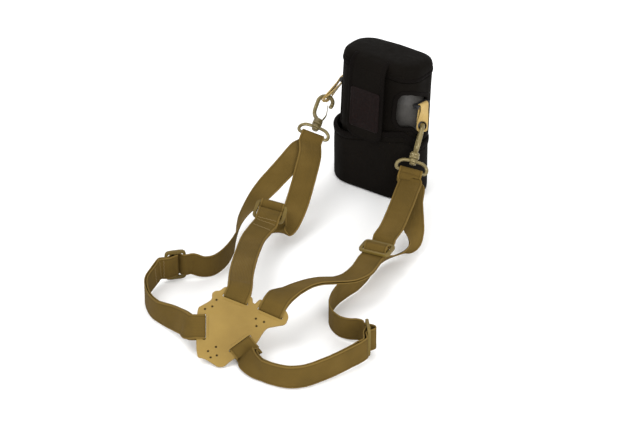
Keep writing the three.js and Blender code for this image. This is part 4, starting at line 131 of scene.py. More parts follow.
def bake(ob):
    bpy.context.view_layer.update()
    dg = bpy.context.evaluated_depsgraph_get()
    me = bpy.data.meshes.new_from_object(ob.evaluated_get(dg), preserve_all_data_layers=True, depsgraph=dg)
    old = ob.data
    ob.modifiers.clear()
    ob.data = me
    bpy.data.meshes.remove(old)


def grid_faces(n, k, loop_k=True, loop_n=False, caps=False):
    f = []
    for i in range(n if loop_n else n - 1):
        for j in range(k if loop_k else k - 1):
            a, b = i * k, ((i + 1) % n) * k
            f.append((a + j, a + (j + 1) % k, b + (j + 1) % k, b + j))
    if caps:
        f.append(tuple(range(k - 1, -1, -1)))
        f.append(tuple(range((n - 1) * k, n * k)))
    return f


def catmull(P, sub, closed=False):
    P = np.asarray(P, float)
    n = len(P)
    out = []
    for i in range(n if closed else n - 1):
        if closed:
            p0, p1, p2, p3 = P[(i - 1) % n], P[i], P[(i + 1) % n], P[(i + 2) % n]
        else:
            p1, p2 = P[i], P[i + 1]
            p0 = P[i - 1] if i > 0 else 2 * p1 - p2
            p3 = P[i + 2] if i + 2 < n else 2 * p2 - p1
        for j in range(sub):
            t = j / sub
            out.append(0.5 * (2 * p1 + (p2 - p0) * t + (2 * p0 - 5 * p1 + 4 * p2 - p3) * t * t + (3 * p1 - p0 - 3 * p2 + p3) * t ** 3))
    if not closed:
        out.append(P[-1])
    return np.array(out)


def sweep(P, r, sides=16, closed=False, ref=(0, 1, 0), flat=1.0, sub=3, rad=None):
    P = catmull(P, sub, closed)
    n = len(P)
    ref = np.array(ref, float)
    v, uv = [], []
    s = 0.0
    for i in range(n):
        a = P[(i - 1) % n] if closed else P[max(0, i - 1)]
        b = P[(i + 1) % n] if closed else P[min(n - 1, i + 1)]
        t = unit(b - a)
        u = unit(ref - t * (ref @ t))
        w = np.cross(t, u)
        k = r if rad is None else r * rad(i / (n - 1))
        s += np.linalg.norm(P[i] - P[i - 1]) if i else 0
        for j in range(sides):
            q = TAU * j / sides
            v.append(P[i] + u * math.cos(q) * k * flat + w * math.sin(q) * k)
            uv.append((s * MM, q))
    return v, grid_faces(n, sides, True, closed, caps=not closed), uv


def lathe(prof, seg=48, closed=False, cx=0.0, cy=0.0):
    """prof: (radius, z) pairs; an open profile starts and ends on the axis."""
    v, f = [], []
    P = list(prof)
    if closed:
        k = len(P)
        for i in range(seg):
            q = TAU * i / seg
            v += [(cx + r * math.cos(q), cy + r * math.sin(q), z) for r, z in P]
        f = grid_faces(seg, k, True, True)
    else:
        mid = [p for p in P if p[0] > 1e-6]
        k = len(mid)
        for i in range(seg):
            q = TAU * i / seg
            v += [(cx + r * math.cos(q), cy + r * math.sin(q), z) for r, z in mid]
        f = grid_faces(seg, k, False, True)
        v += [(cx, cy, P[0][1]), (cx, cy, P[-1][1])]
        lo, hi = len(v) - 2, len(v) - 1
        for i in range(seg):
            f.append((lo, i * k, ((i + 1) % seg) * k))
            f.append((hi, ((i + 1) % seg) * k + k - 1, i * k + k - 1))
    return v, f, [(p[0] * MM, p[2] * MM) for p in v]


def block(x0, x1, y0, y1, z0, z1):
    v = [(x, y, z) for z in (z0, z1) for y in (y0, y1) for x in (x0, x1)]
    return v, [(0, 2, 3, 1), (4, 5, 7, 6), (0, 1, 5, 4), (2, 6, 7, 3), (0, 4, 6, 2), (1, 3, 7, 5)], None


def basis(o, x, y, z):
    o = np.array(o, float)
    m = np.array([x, y, z], float)
    return lambda v: o + v @ m


def hsh(x):
    return (math.sin(x * 127.1) * 43758.5453) % 1.0


def wob(p, k):
    """Slow smooth waviness, the same every run."""
    x, y, z = p
    return (math.sin(x / 17 + k) * math.cos(y / 13 + 1.7 * k) + math.sin(z / 19 + 2.3 * k + x / 29)) * 0.5


# --------------------------------------------------------------- materials
class Mat:
    def __init__(self, name, base, rough=0.6, metal=0.0, spec=0.5, sheen=0.0):
        self.m = bpy.data.materials.new(name)
        self.m.use_nodes = True
        self.t = self.m.node_tree
        self.b = self.t.nodes["Principled BSDF"]
        self.b.inputs["Base Color"].default_value = (*base, 1)
        self.b.inputs["Roughness"].default_value = rough
        self.b.inputs["Metallic"].default_value = metal
        self.b.inputs["Specular IOR Level"].default_value = spec
        if sheen:
            self.b.inputs["Sheen Weight"].default_value = sheen
            self.b.inputs["Sheen Roughness"].default_value = 0.6
        self.co = self.t.nodes.new("ShaderNodeTexCoord")
        self.h = None

    def node(self, kind, **kw):
        n = self.t.nodes.new(kind)
        for k, v in kw.items():
            if k in n.inputs:
                n.inputs[k].default_value = v
            else:
                setattr(n, k, v)
        return n

    def link(self, a, b):
        self.t.links.new(a, b)

    def math(self, op, a, b=None, c=None):
        n = self.t.nodes.new("ShaderNodeMath")
        n.operation = op
        for i, x in enumerate((a, b, c)):
            if x is None:
                continue
            if isinstance(x, (int, float)):
                n.inputs[i].default_value = x
            else:
                self.link(x, n.inputs[i])
        return n.outputs[0]

    def noise(self, scale, detail=2.0, coord="Object", stretch=None, rough=0.5):
        n = self.node("ShaderNodeTexNoise", Scale=scale, Detail=detail, Roughness=rough)
        src = self.co.outputs[coord]
        if stretch:
            mp = self.node("ShaderNodeMapping")
            mp.inputs["Scale"].default_value = stretch
            self.link(src, mp.inputs["Vector"])
            src = mp.outputs[0]
        self.link(src, n.inputs["Vector"])
        return n.outputs["Fac"]

    def ramp(self, fac, stops):
        n = self.node("ShaderNodeValToRGB")
        e = n.color_ramp.elements
        while len(e) < len(stops):
            e.new(0.5)
        for el, (p, c) in zip(e, stops):
            el.position = p
            el.color = (*c, 1) if len(c) == 3 else c
        self.link(fac, n.inputs[0])
        return n.outputs[0]

    def mix(self, fac, a, b, kind="MIX"):
        n = self.t.nodes.new("ShaderNodeMix")
        n.data_type = "RGBA"
        n.blend_type = kind
        for sock, x in ((n.inputs[0], fac), (n.inputs[6], a), (n.inputs[7], b)):
            if isinstance(x, (int, float)):
                sock.default_value = x
            elif isinstance(x, tuple):
                sock.default_value = (*x, 1)
            else:
                self.link(x, sock)
        return n.outputs[2]

    def color(self, sock):
        self.link(sock, self.b.inputs["Base Color"])
        return self

    def rough(self, fac, lo, hi):
        n = self.node("ShaderNodeMapRange")
        n.inputs["To Min"].default_value = lo
        n.inputs["To Max"].default_value = hi
        self.link(fac, n.inputs["Value"])
        self.link(n.outputs[0], self.b.inputs["Roughness"])
        return self

    def bump(self, height, dist, strength=1.0):
        n = self.node("ShaderNodeBump", Strength=strength, Distance=dist)
        self.link(height, n.inputs["Height"])
        if self.h is not None:
            self.link(self.h, n.inputs["Normal"])
        self.h = n.outputs[0]
        self.link(self.h, self.b.inputs["Normal"])
        return self


def lin(r, g, b):
    f = lambda c: (c / 255 / 12.92) if c <= 10 else ((c / 255 + 0.055) / 1.055) ** 2.4
    return (f(r), f(g), f(b))


def webbing_mat(name, lo, mid, hi):
    m = Mat(name, lin(*mid), 0.82, spec=0.1)
    uv = m.node("ShaderNodeSeparateXYZ")
    m.link(m.co.outputs["UV"], uv.inputs[0])
    s, v = uv.outputs[0], uv.outputs[1]                      # along and across, metres
    av = m.math("ABSOLUTE", v)
    rib = m.math("SINE", m.math("MULTIPLY", v, TAU / 0.00155))            # elastic ribs run lengthwise
    alt = m.math("MULTIPLY", m.math("SIGN", rib), 1.57)
    weft = m.math("SINE", m.math("ADD", m.math("MULTIPLY", s, TAU / 0.0011), alt))
    weave = m.math("ADD", m.math("MULTIPLY", rib, 0.6), m.math("MULTIPLY", weft, 0.4))
    fib = m.noise(1.0, 3.0, "UV", (1500, 5200, 1))
    blot = m.noise(24.0, 3.0)
    band = m.noise(1.0, 2.0, "UV", (18, 420, 1))                          # faint lengthwise streaks
    base = m.ramp(blot, [(0.25, lin(*lo)), (0.5, lin(*mid)), (0.8, lin(*hi))])
    base = m.mix(m.math("MULTIPLY", band, 0.35), base, lin(*lo))
    base = m.mix(m.math("MULTIPLY", m.math("ADD", weave, 1.0), 0.13), base, lin(lo[0] - 26, lo[1] - 22, max(lo[2] - 14, 6)))
    base = m.mix(m.math("MULTIPLY", fib, 0.22), base, lin(min(hi[0] + 18, 255), hi[1] + 14, hi[2] + 8))
    edge = m.math("SMOOTH_MIN", m.math("MAXIMUM", m.math("MULTIPLY", m.math("SUBTRACT", av, 0.0108), 900), 0.0), 1.0, 0.2)
    base = m.mix(m.math("MULTIPLY", edge, 0.34), base, lin(min(hi[0] + 30, 255), hi[1] + 26, hi[2] + 18))
    # painted shade: the recessed groove near each edge is darkened in colour as well as bumped inward
    groove = m.math("LESS_THAN", m.math("ABSOLUTE", m.math("SUBTRACT", av, 0.0101)), 0.00028)
    base = m.mix(m.math("MULTIPLY", groove, 0.35), base, lin(lo[0] - 28, lo[1] - 24, max(lo[2] - 16, 5)))
    m.color(base).rough(fib, 0.72, 0.95)
    m.bump(weave, 0.00012, 0.9).bump(fib, 0.00008, 0.6).bump(groove, -0.0002, 0.5)
    return m.m


WEB = webbing_mat("webbing_coyote", (72, 57, 22), (88, 69, 28), (105, 84, 40))
THREAD = Mat("thread", lin(124, 102, 58), 0.6, sheen=0.1)
THREAD.bump(THREAD.noise(2600, 2.0), 0.00004)
THREAD = THREAD.m


def plastic_mat(name, lo, mid, hi, rough=(0.42, 0.62)):
    m = Mat(name, lin(*mid), 0.5, spec=0.25)
    a, g = m.noise(14.0, 4.0), m.noise(1500, 2.0)
    base = m.ramp(a, [(0.3, lin(*lo)), (0.52, lin(*mid)), (0.75, lin(*hi))])
    base = m.mix(m.math("MULTIPLY", m.math("GREATER_THAN", m.noise(900, 1.0), 0.66), 0.12), base, lin(*hi))
    m.color(base).rough(m.noise(60.0, 4.0), *rough)
    m.bump(g, 0.00005, 0.5).bump(m.noise(160, 3.0), 0.00012, 0.35)
    return m.m


PLATE_M = plastic_mat("plate_moulded", (122, 98, 44), (136, 111, 52), (149, 124, 62))
SLIDE_M = plastic_mat("slide_moulded", (78, 63, 22), (92, 75, 28), (106, 89, 38), (0.45, 0.65))
# painted shade: a dark plate colour for the discs that close the small holes, where the floor under the plate would be
# in shadow
HOLE_M = plastic_mat("plate_hole_shade", (52, 40, 20), (60, 47, 24), (70, 55, 30))
METAL = Mat("hook_coated", lin(138, 122, 76), 0.42, 0.35, spec=0.6)
METAL.color(METAL.mix(METAL.math("MULTIPLY", METAL.math("GREATER_THAN", METAL.noise(420, 3.0), 0.63), 0.55), METAL.ramp(METAL.noise(60, 4.0), [(0.3, lin(92, 80, 46)), (0.55, lin(112, 99, 60)), (0.8, lin(132, 119, 78))]), lin(176, 166, 128)))
METAL.rough(METAL.noise(120, 4.0), 0.30, 0.55).bump(METAL.noise(800, 3.0), 0.00006, 0.5)
METAL = METAL.m
STEEL = Mat("leaf_steel", lin(120, 108, 70), 0.38, 0.5, spec=0.4)
STEEL.rough(STEEL.noise(300, 3.0), 0.22, 0.45).bump(STEEL.noise(1.0, 3.0, "Object", (300, 2500, 2500)), 0.00003, 0.5)
STEEL = STEEL.m
TABM = Mat("tab_strip", lin(206, 172, 100), 0.62, spec=0.35, sheen=0.08)
TABM.color(TABM.mix(TABM.math("MULTIPLY", TABM.noise(1.0, 3.0, "UV", (900, 3800, 1)), 0.3), TABM.ramp(TABM.noise(55, 4.0), [(0.3, lin(152, 126, 68)), (0.55, lin(168, 141, 80)), (0.8, lin(182, 156, 96))]), lin(138, 113, 60)))
TABM.rough(TABM.noise(200, 3.0), 0.5, 0.75).bump(TABM.noise(1.0, 3.0, "UV", (700, 3200, 1)), 0.00009, 0.7)
TABM = TABM.m


def neoprene_mat(name, a, b):
    m = Mat(name, lin(*b), 0.8, spec=0.05, sheen=0.0)
    big, mid = m.noise(22, 4.0), m.noise(150, 3.0)
    vor = m.node("ShaderNodeTexVoronoi", Scale=1150.0)       # knitted face
    m.link(m.co.outputs["Object"], vor.inputs["Vector"])
    base = m.ramp(big, [(0.3, lin(*a)), (0.7, lin(*b))])
    base = m.mix(m.math("MULTIPLY", m.noise(700, 2.0), 0.25), base, lin(b[0] + 9, b[1] + 8, b[2] + 7))
    m.color(base).rough(mid, 0.68, 0.92)
    m.bump(vor.outputs["Distance"], 0.00016, 0.5).bump(mid, 0.0005, 0.35).bump(big, 0.0022, 0.3)
    return m.m


NEO = neoprene_mat("neoprene_black", (8, 6, 4), (13, 10, 7))
BIND = neoprene_mat("binding_tape", (6, 4, 3), (11, 8, 6))
PATCH = Mat("loop_patch", lin(16, 5, 4), 0.5, spec=0.1)
PATCH.color(PATCH.ramp(PATCH.noise(480, 3.0), [(0.3, lin(8, 2, 2)), (0.6, lin(15, 4, 3)), (0.85, lin(26, 9, 7))]))
PATCH.rough(PATCH.noise(300, 2.0), 0.35, 0.7).bump(PATCH.noise(1300, 3.0), 0.0005, 0.8)
PATCH = PATCH.m
ARM = Mat("rubber_armour", lin(84, 83, 88), 0.6, spec=0.4)
ARM.color(ARM.ramp(ARM.noise(70, 4.0), [(0.3, lin(43, 41, 38)), (0.7, lin(57, 54, 51))]))
_v = ARM.node("ShaderNodeTexVoronoi", Scale=700.0)
ARM.link(ARM.co.outputs["Object"], _v.inputs["Vector"])
ARM.rough(ARM.noise(160, 3.0), 0.48, 0.72).bump(_v.outputs["Distance"], 0.0003, 0.5)
ARM = ARM.m
TRIM = plastic_mat("trim_black", (26, 26, 28), (34, 34, 36), (46, 46, 49), (0.32, 0.5))
GLASS = Mat("coated_lens", lin(46, 62, 70), 0.04, 0.0, spec=0.9)
GLASS.color(GLASS.ramp(GLASS.noise(9, 1.0), [(0.3, lin(34, 46, 58)), (0.7, lin(56, 66, 84))]))
GLASS.b.inputs["Coat Weight"].default_value = 1.0
GLASS = GLASS.m

# ----------------------------------------------------------------- webbing
W2 = 12.5
ACROSS = [(-12.5, 0.0), (-12.44, 0.26), (-12.22, 0.47), (-11.8, 0.62), (-11.2, 0.7), (-10.6, 0.67), (-10.15, 0.54), (-9.7, 0.6), (-8, 0.62), (-5.5, 0.63), (-2.8, 0.63), (0, 0.63)]
ACROSS = ACROSS + [(-a, b) for a, b in ACROSS[-2::-1]]
SECT = [(a, b) for a, b in ACROSS] + [(a, -b) for a, b in ACROSS[-2:0:-1]]


def refine(rows, step=2.2):
    A = np.array(rows, float)
    P, W = A[:, :3], A[:, 3:]
    outP, outW = [], []
    n = len(P)
    for i in range(n - 1):
        p1, p2 = P[i], P[i + 1]
        p0 = P[i - 1] if i else 2 * p1 - p2
        p3 = P[i + 2] if i + 2 < n else 2 * p2 - p1
        k = max(1, int(math.ceil(np.linalg.norm(p2 - p1) / step)))
        # centripetal weights keep the tight bends round
        d0, d1, d2 = (max(np.linalg.norm(b - a), 1e-6) ** 0.5 for a, b in ((p0, p1), (p1, p2), (p2, p3)))
        m1 = ((p1 - p0) / d0 - (p2 - p0) / (d0 + d1) + (p2 - p1) / d1) * d1
        m2 = ((p2 - p1) / d1 - (p3 - p1) / (d1 + d2) + (p3 - p2) / d2) * d1
        for j in range(k):
            t = j / k
            outP.append((2 * t ** 3 - 3 * t * t + 1) * p1 + (t ** 3 - 2 * t * t + t) * m1 + (3 * t * t - 2 * t ** 3) * p2 + (t ** 3 - t * t) * m2)
            outW.append(W[i] * (1 - t) + W[i + 1] * t)
    outP.append(P[-1])
    outW.append(W[-1])
    P, W = np.array(outP), np.array(outW)
    T = np.empty_like(P)
    T[1:-1] = P[2:] - P[:-2]
    T[0], T[-1] = P[1] - P[0], P[-1] - P[-2]
    T /= np.linalg.norm(T, axis=1)[:, None]
    W -= T * np.sum(W * T, axis=1)[:, None]
    W /= np.linalg.norm(W, axis=1)[:, None]
    S = np.concatenate([[0], np.cumsum(np.linalg.norm(np.diff(P, axis=0), axis=1))])
    return P, W, np.cross(T, W), S


def strap_rings(P, W, N, S, sect, scale=1.0):
    v, uv = [], []
    for i in range(len(P)):
        sx = scale * (1 + 0.004 * math.sin(S[i] / 6.1) + 0.003 * math.sin(S[i] / 2.3 + 1))
        for a, b in sect:
            v.append(P[i] + W[i] * a * sx + N[i] * b)
            uv.append((S[i] * MM, a * MM))
    return v, uv


def strap(name, fr, i0, i1, node, mats=None, extra=None):
    P, W, N, S = (x[i0:i1 + 1] for x in fr)
    v, uv = strap_rings(P, W, N, S, SECT)
    b = Build().add(v, grid_faces(len(P), len(SECT), caps=True), uv)
    if extra:
        extra(b, fr)
    return b.done(name, mats or [WEB, THREAD], node=node, slot="webbing", fix=True)


def nearest(fr, p):
    return int(np.argmin(np.linalg.norm(fr[0] - np.array(p), axis=1)))


def bend(ob, fr, i0, i1, near_end=True):
    """Score how straight a strap runs towards a slide that sits at i1 (near_end) or i0, print the residual and bake the
    transform.
    """
    P, S = fr[0][i0:i1 + 1], fr[3][i0:i1 + 1]
    rem = (S[-1] - S) if near_end else (S - S[0])
    ie = int(np.argmin(np.abs(rem - 15)))
    best = None
    for want in (40, 48, 56, 64, 34, 28, 72):
        js = int(np.argmin(np.abs(rem - want)))
        s, e = P[js], P[ie]
        d = e - s
        t = ((P - s) @ d) / (d @ d)
        far, close = t[rem > want + 2], t[rem < 13]
        bad = max(0.0, float(far.max()) if len(far) else 0.0) + max(0.0, 1 - float(close.min()))
        if best is None or bad < best[0]:
            best = (bad, js)
    s, e = P[best[1]], P[ie]
    print("bend", ob.name, "residual", round(best[0], 3))
    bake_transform(ob)


SLO = {1: (-148.2, -133.5, 18.5), 2: (-52.1, -64.5, 40), 3: (58.2, -130.5, 36.5), 4: (47.0, -268.5, 18.5)}
SLU = {1: (0.97073, 0.24018, 0), 2: (0.2616, 0.87866, 0.39939), 3: (0.41003, 0.91207, 0), 4: (-0.1, 0.99499, 0)}
SLV = {1: (0, 0, 1), 2: (0.96125, -0.19992, -0.18979), 3: (0.91207, -0.41003, 0), 4: (0, 0, 1)}
SLN = {1: (-0.24018, 0.97073, 0), 2: (-0.08692, 0.43357, -0.89692), 3: (0, 0, 1), 4: (0.99499, 0.1, 0)}
CREST = {1: 4.25, 2: 4.25, 3: 4.85, 4: 7.65}
NAMES = {1: "left_lower", 2: "left_upper", 3: "right_upper", 4: "right_lower"}
HKS = {
    "left": dict(L=(7.6, 95, 88), A=(0.31268, 0.82881, 0.46401), B=(0.93558, -0.18435, -0.30117), X=(0.94986, -0.27295, -0.15253)),
    "right": dict(L=(108.4, 33.8, 86.6), A=(0.24495, 0.65387, 0.71586), B=(0.96771, -0.11959, -0.2219), X=(-0.11898, 0.75304, -0.64712)),
}
for h in HKS.values():
    for k in "LABX":
        h[k] = np.array(h[k], float)
    h["L"] = h["L"] + OFF
    h["Y"] = np.cross(h["A"], h["X"])
    h["C"] = h["L"] - h["A"] * 50
for side, (k1, k2) in (("left", (1, 2)), ("right", (3, 4))):
    fr = refine(LINES[side])
    n = len(fr[0]) - 1
    c1 = nearest(fr, np.array(SLO[k1]) + OFF + np.array(SLN[k1]) * CREST[k1])
    c2 = nearest(fr, np.array(SLO[k2]) + OFF + np.array(SLN[k2]) * CREST[k2])
    cb = nearest(fr, HKS[side]["C"] - HKS[side]["A"] * 2.95)
    node = "webbing_" + side
    a = strap("strap_%s_a" % side, fr, 0, c1, node)
    bend(a, fr, 0, c1)
    b = strap("strap_%s_b" % side, fr, c1, cb, node)
    bend(b, fr, c1, cb, False)
    c = strap("strap_%s_c" % side, fr, cb, c2, node)
    bend(c, fr, cb, c2)
    d = strap("strap_%s_d" % side, fr, c2, n, node)
    bend(d, fr, c2, n, False)


def stitches(rows, side):
    """Thread rows across the sewn layer, distances from its sewn end in mm."""

    def put(b, fr):
        P, W, N, S = fr
        for dist in rows:
            i = int(np.argmin(np.abs((S[-1] - S) - dist)))
            T = np.cross(W[i], N[i])
            for q in range(-10, 10, 2):
                for sgn in (side,):
                    c = P[i] + W[i] * (q + 1) + N[i] * (0.66 * sgn) + T * (0.25 if q % 4 else -0.25)
                    ends = [c - W[i] * 0.8 - N[i] * 0.28 * sgn, c - W[i] * 0.4 + N[i] * 0.02 * sgn, c + N[i] * 0.1 * sgn, c + W[i] * 0.4 + N[i] * 0.02 * sgn, c + W[i] * 0.8 - N[i] * 0.28 * sgn]
                    v, f, uv = sweep(ends, 0.27, 6, ref=T, sub=1)
                    b.add(v, f, uv, mi=1)

    return put


SGN = {1: -1, 2: 1, 3: -1, 4: 1}
for k in (1, 2, 3, 4):
    fr = refine(LINES["sewn_" + NAMES[k]])
    n = len(fr[0]) - 1
    out = -SGN[k]                                  # side of the layer away from the running webbing
    o = strap("tail_" + NAMES[k], fr, 0, n, "sewn_end_" + NAMES[k], extra=stitches((22, 26.5, 38), out))
    bend(o, fr, 0, n)

# ------------------------------------------------------------- back plate
OUTLINE = [(-39.8, 14), (-31.6, 18.4), (-25, 22.7), (-25, 29.2), (-21.4, 31.9), (-17.3, 31.8), (-11.4, 36.6), (2, 31.4), (12.5, 27), (15.2, 24), (15.4, 19.6), (17.4, 18.2), (19.6, 20.4), (22.6, 23.2),
           (34, 18.2), (48.5, 11.3), (51, 5), (48, -3.2), (38, -5), (30, -6.5), (26, -11), (22.4, -17.3), (19.4, -22.7), (7.8, -30.8), (-2.6, -38), (-7.1, -41.2), (-12.2, -45.9), (-18.4, -46.4), (-24.5, -42.1), (-31.6, -37.8), (-39.8, -36.2)]
SLOTS = {"W": ((-29.6, -5.5), (-1, 0)), "N": ((-2.65, 20.5), (0.372, 0.928)), "E": ((31.5, 6.5), (0.419, 0.908)), "S": ((1.8, -20.8), (0.607, -0.795))}
HOLES = [(-20.4, -25.9), (-28.1, -30.2), (-19.4, -34.6), (-25.5, -36.6), (18.5, 3), (19.2, -4.6), (26.6, -0.4), (-24.5, 15.6), (-31.6, 13), (-20.4, 22.4)]


def chaikin(P, n=2, keep=0.18):
    P = [np.array(p, float) for p in P]
    for _ in range(n):
        Q = []
        for i in range(len(P)):
            a, b = P[i], P[(i + 1) % len(P)]
            Q += [a * (1 - keep) + b * keep, a * keep + b * (1 - keep)]
        P = Q
    return P


def flat_piece(name, loops, half, bevel, z=0.0, res=3):
    """A flat moulded piece with rounded edges from closed outlines; the first is the outside."""
    cu = bpy.data.curves.new(name, "CURVE")
    cu.dimensions = "2D"
    cu.fill_mode = "BOTH"
    cu.extrude = (half - bevel) * MM
    cu.bevel_depth = bevel * MM
    cu.bevel_resolution = res
    cu.offset = -bevel * MM
    for L in loops:
        sp = cu.splines.new("POLY")
        sp.points.add(len(L) - 1)
        for p, q in zip(sp.points, L):
            p.co = (q[0] * MM, q[1] * MM, 0, 1)
        sp.use_cyclic_u = True
    ob = bpy.data.objects.new(name + "_c", cu)
    SCN.collection.objects.link(ob)
    bpy.context.view_layer.update()
    me = bpy.data.meshes.new_from_object(ob.evaluated_get(bpy.context.evaluated_depsgraph_get()))
    bpy.data.objects.remove(ob)
    v = [(p.co[0] / MM, p.co[1] / MM, p.co[2] / MM + z) for p in me.vertices]
    f = [tuple(p.vertices) for p in me.polygons]
    bpy.data.meshes.remove(me)
    return v, f, [(p[0] * MM, p[1] * MM) for p in v]


def ccw(P, want=True):
    a = sum(P[i][0] * P[(i + 1) % len(P)][1] - P[(i + 1) % len(P)][0] * P[i][1] for i in range(len(P)))
    return P if (a > 0) == want else P[::-1]


tl = math.radians(40)
PX, PY, PZ = (1, 0, 0), (0, math.cos(tl), math.sin(tl)), (0, -math.sin(tl), math.cos(tl))
PC = np.array([-81.7, -260.3, 31.5]) + OFF
loops = [ccw(chaikin(OUTLINE, 3))]
ribs = Build()
for key, (m, o) in SLOTS.items():
    m, o = np.array(m), unit(np.array(o))
    s = np.array([-o[1], o[0]])
    rect = [m + o * a + s * b for a, b in ((0.9, -13.2), (3.6, -13.2), (3.6, 13.2), (0.9, 13.2))]
    loops.append(ccw(chaikin(rect, 2, 0.08), False))
    # a raised lip along the inner side of each slot
    for a0 in (-1.5,):
        line = [(*(m + o * a0 + s * b), 1.05) for b in np.linspace(-12.2, 12.2, 7)]
        ribs.add(*sweep(line, 0.55, 8, ref=(0, 0, 1), sub=2, rad=lambda t: min(1.0, 0.35 + 6 * min(t, 1 - t))))
for x, y in HOLES:
    loops.append(ccw([(x + 1.1 * math.cos(q * TAU / 14), y + 1.1 * math.sin(q * TAU / 14)) for q in range(14)], False))
b = Build().add(*flat_piece("plate", loops, 1.2, 0.45))
for x, y in HOLES:                                         # dark disc at the bottom of each small hole: painted shade standing in for the shadowed floor under the plate, not a moulded web
    b.add(*lathe([(0, -1.12), (1.3, -1.12), (1.3, -0.8), (0, -0.8)], 12, cx=x, cy=y), mi=1)
b.v += [tuple(p) for p in ribs.v]
b.f += [tuple(i + len(b.v) - len(ribs.v) for i in q) for q in ribs.f]
b.uv += ribs.uv
b.mi += ribs.mi
plate_tf = basis(PC, PX, PY, PZ)
b.done("plate_moulded_x", [PLATE_M, HOLE_M], body="base", node="back_plate", slot="plate", angle=50, tf=plate_tf)

# ---------------------------------------------------------------- slides
for k in (1, 2, 3, 4):
    O, U, Vv = np.array(SLO[k]) + OFF, np.array(SLU[k]), np.array(SLV[k])
    a, c, r = 11.3, 17.0, 3.2
    outer = chaikin([(-a, -c + r), (-a + r, -c), (a - r, -c), (a, -c + r), (a, c - r), (a - r, c), (-a + r, c), (-a, c - r)], 2, 0.16)
    inner = chaikin([(-8.3, -13.3), (8.3, -13.3), (8.3, 13.3), (-8.3, 13.3)], 2, 0.07)
    b = Build().add(*flat_piece("slide", [ccw(outer), ccw(inner, False)], 1.5, 0.5))
    b.add(*sweep([(0, y, 0) for y in np.linspace(-14.4, 14.4, 5)], 1.2, 14, ref=(0, 0, 1), sub=1))
    for sx in (-1, 1):                                          # ridges that bite the webbing
        for y in np.linspace(-11.5, 11.5, 12):
            b.add(*block(sx * 9.0 - 0.9, sx * 9.0 + 0.9, y - 0.35, y + 0.35, 1.3, 1.75))
    b.done("slide_piece_" + NAMES[k], SLIDE_M, body="slide_" + NAMES[k], node="adjuster_" + NAMES[k], slot="slide_plastic", angle=42, tf=basis(O, U, Vv, np.cross(U, Vv)))

# ------------------------------------------------------- hooks, eyes, gates
BAR, ARCH, HL = 2.2, 8.0, 50.0
zt = -HL + 11.5
base0 = zt + 2.4
base1 = base0 + 7.5
ARC = [(ARCH * math.cos(math.pi - i / 10 * math.pi), 0, BAR - ARCH + ARCH * math.sin(math.pi - i / 10 * math.pi)) for i in range(11)]


def ring_of(prof, seg=32):
    return lathe(prof, seg, closed=True)


for side, h in HKS.items():
    eye_tf = basis(h["L"], h["B"], np.cross(h["A"], h["B"]), h["A"])
    tf = basis(h["L"], h["X"], h["Y"], h["A"])
    z0 = -HL
    half = [(0, z0), (9, z0), (13.6, z0), (15.6, z0 + 0.9), (16.5, z0 + 3), (16.2, z0 + 5.6), (14.3, z0 + 8.4), (10.5, zt - 0.9), (5, zt - 0.1), (4.0, zt)]
    pts = [(x, 0, z) for x, z in half] + [(-x, 0, z) for x, z in half[::-1][:-1]]
    P = catmull([(x, 0, z) for x, z in half[::-1][:-1]] + [(0, 0, z0)] + [(-x, 0, z) for x, z in half[1:]], 4)
    b = Build().add(*sweep(P, 1.8, 18, ref=(0, 1, 0), sub=1))
    b.add(*ring_of([(4.0, zt - 2), (4.4, zt - 1.6), (4.4, zt + 1.6), (4.0, zt + 2), (2.8, zt + 2), (2.5, zt + 1.7), (2.5, zt - 1.7), (2.8, zt - 2)]))
    b.done("d_eye_" + side, METAL, body="base", node="swivel_eye_" + side, slot="hook_metal", angle=45, tf=eye_tf)
    J = [(0, 0, base1 - 3), (-2.2, 0, base1 + 0.2), (-4.8, 0, base1 + 2.6), (-6.8, 0, base1 + 6), (-7.8, 0, base1 + 11)] + ARC + [(7.9, 0, -8.2), (7.3, 0, -10.4), (7.2, 0, -11.4)]
    b = Build().add(*sweep(J, BAR, 18, ref=(0, 1, 0), flat=1.12, sub=3, rad=lambda t: 1.0 if t < 0.93 else max(0.55, 1 - ((t - 0.93) / 0.07) ** 2 * 0.45)))
    b.add(*lathe([(0, base0), (4.6, base0), (5.1, base0 + 0.4), (5.35, base0 + 1.2), (5.3, base0 + 3), (4.9, base0 + 3.5), (4.9, base0 + 3.9), (5.2, base0 + 4.4), (5.1, base1 - 1.8), (4.4, base1 - 0.6), (3.2, base1), (0, base1)], 36))
    b.done("snap_hook_" + side, METAL, body="snap_" + side, node="hook_" + side, slot="hook_metal", angle=50, tf=tf)
    b = Build().add(*lathe([(0, zt - 4.4), (2.6, zt - 4.4), (3.3, zt - 4.0), (3.7, zt - 3.2), (3.5, zt - 2.3), (2.1, zt - 2.25), (2.1, base0 + 2), (0, base0 + 2)], 28))
    b.done("rivet_" + side, METAL, body="snap_" + side, node="swivel_pin_" + side, slot="hook_metal", angle=40, tf=tf)
    leaf = catmull([(3.6, 0, base1 - 1.6), (4.6, 0, base1 + 1.6), (5.9, 0, base1 + 6), (5.8, 0, base1 + 10), (4.9, 0, -13.5), (3.9, 0, -9.4)], 5)
    v = []
    for i, p in enumerate(leaf):
        t = unit(leaf[min(len(leaf) - 1, i + 1)] - leaf[max(0, i - 1)])
        nrm = np.cross(t, (0, 1, 0))
        w = 2.1 * (1 - 0.25 * max(0, i / (len(leaf) - 1) - 0.8) / 0.2)
        for q in range(12):
            a = TAU * q / 12
            ca, sa = math.cos(a), math.sin(a)
            v.append(p + np.array((0, 1, 0)) * w * math.copysign(abs(ca) ** 0.45, ca) + nrm * 0.42 * math.copysign(abs(sa) ** 0.6, sa))
    b = Build().add(v, grid_faces(len(leaf), 12, caps=True))
    b.add(*sweep([(3.4, y, base1 - 1.9) for y in (-2.1, -1, 0, 1, 2.1)], 1.15, 14, ref=(0, 0, 1), sub=1))
    b.done("leaf_gate_" + side, STEEL, body="leaf_" + side, node="gate_" + side, slot="gate_spring", angle=50, tf=tf)

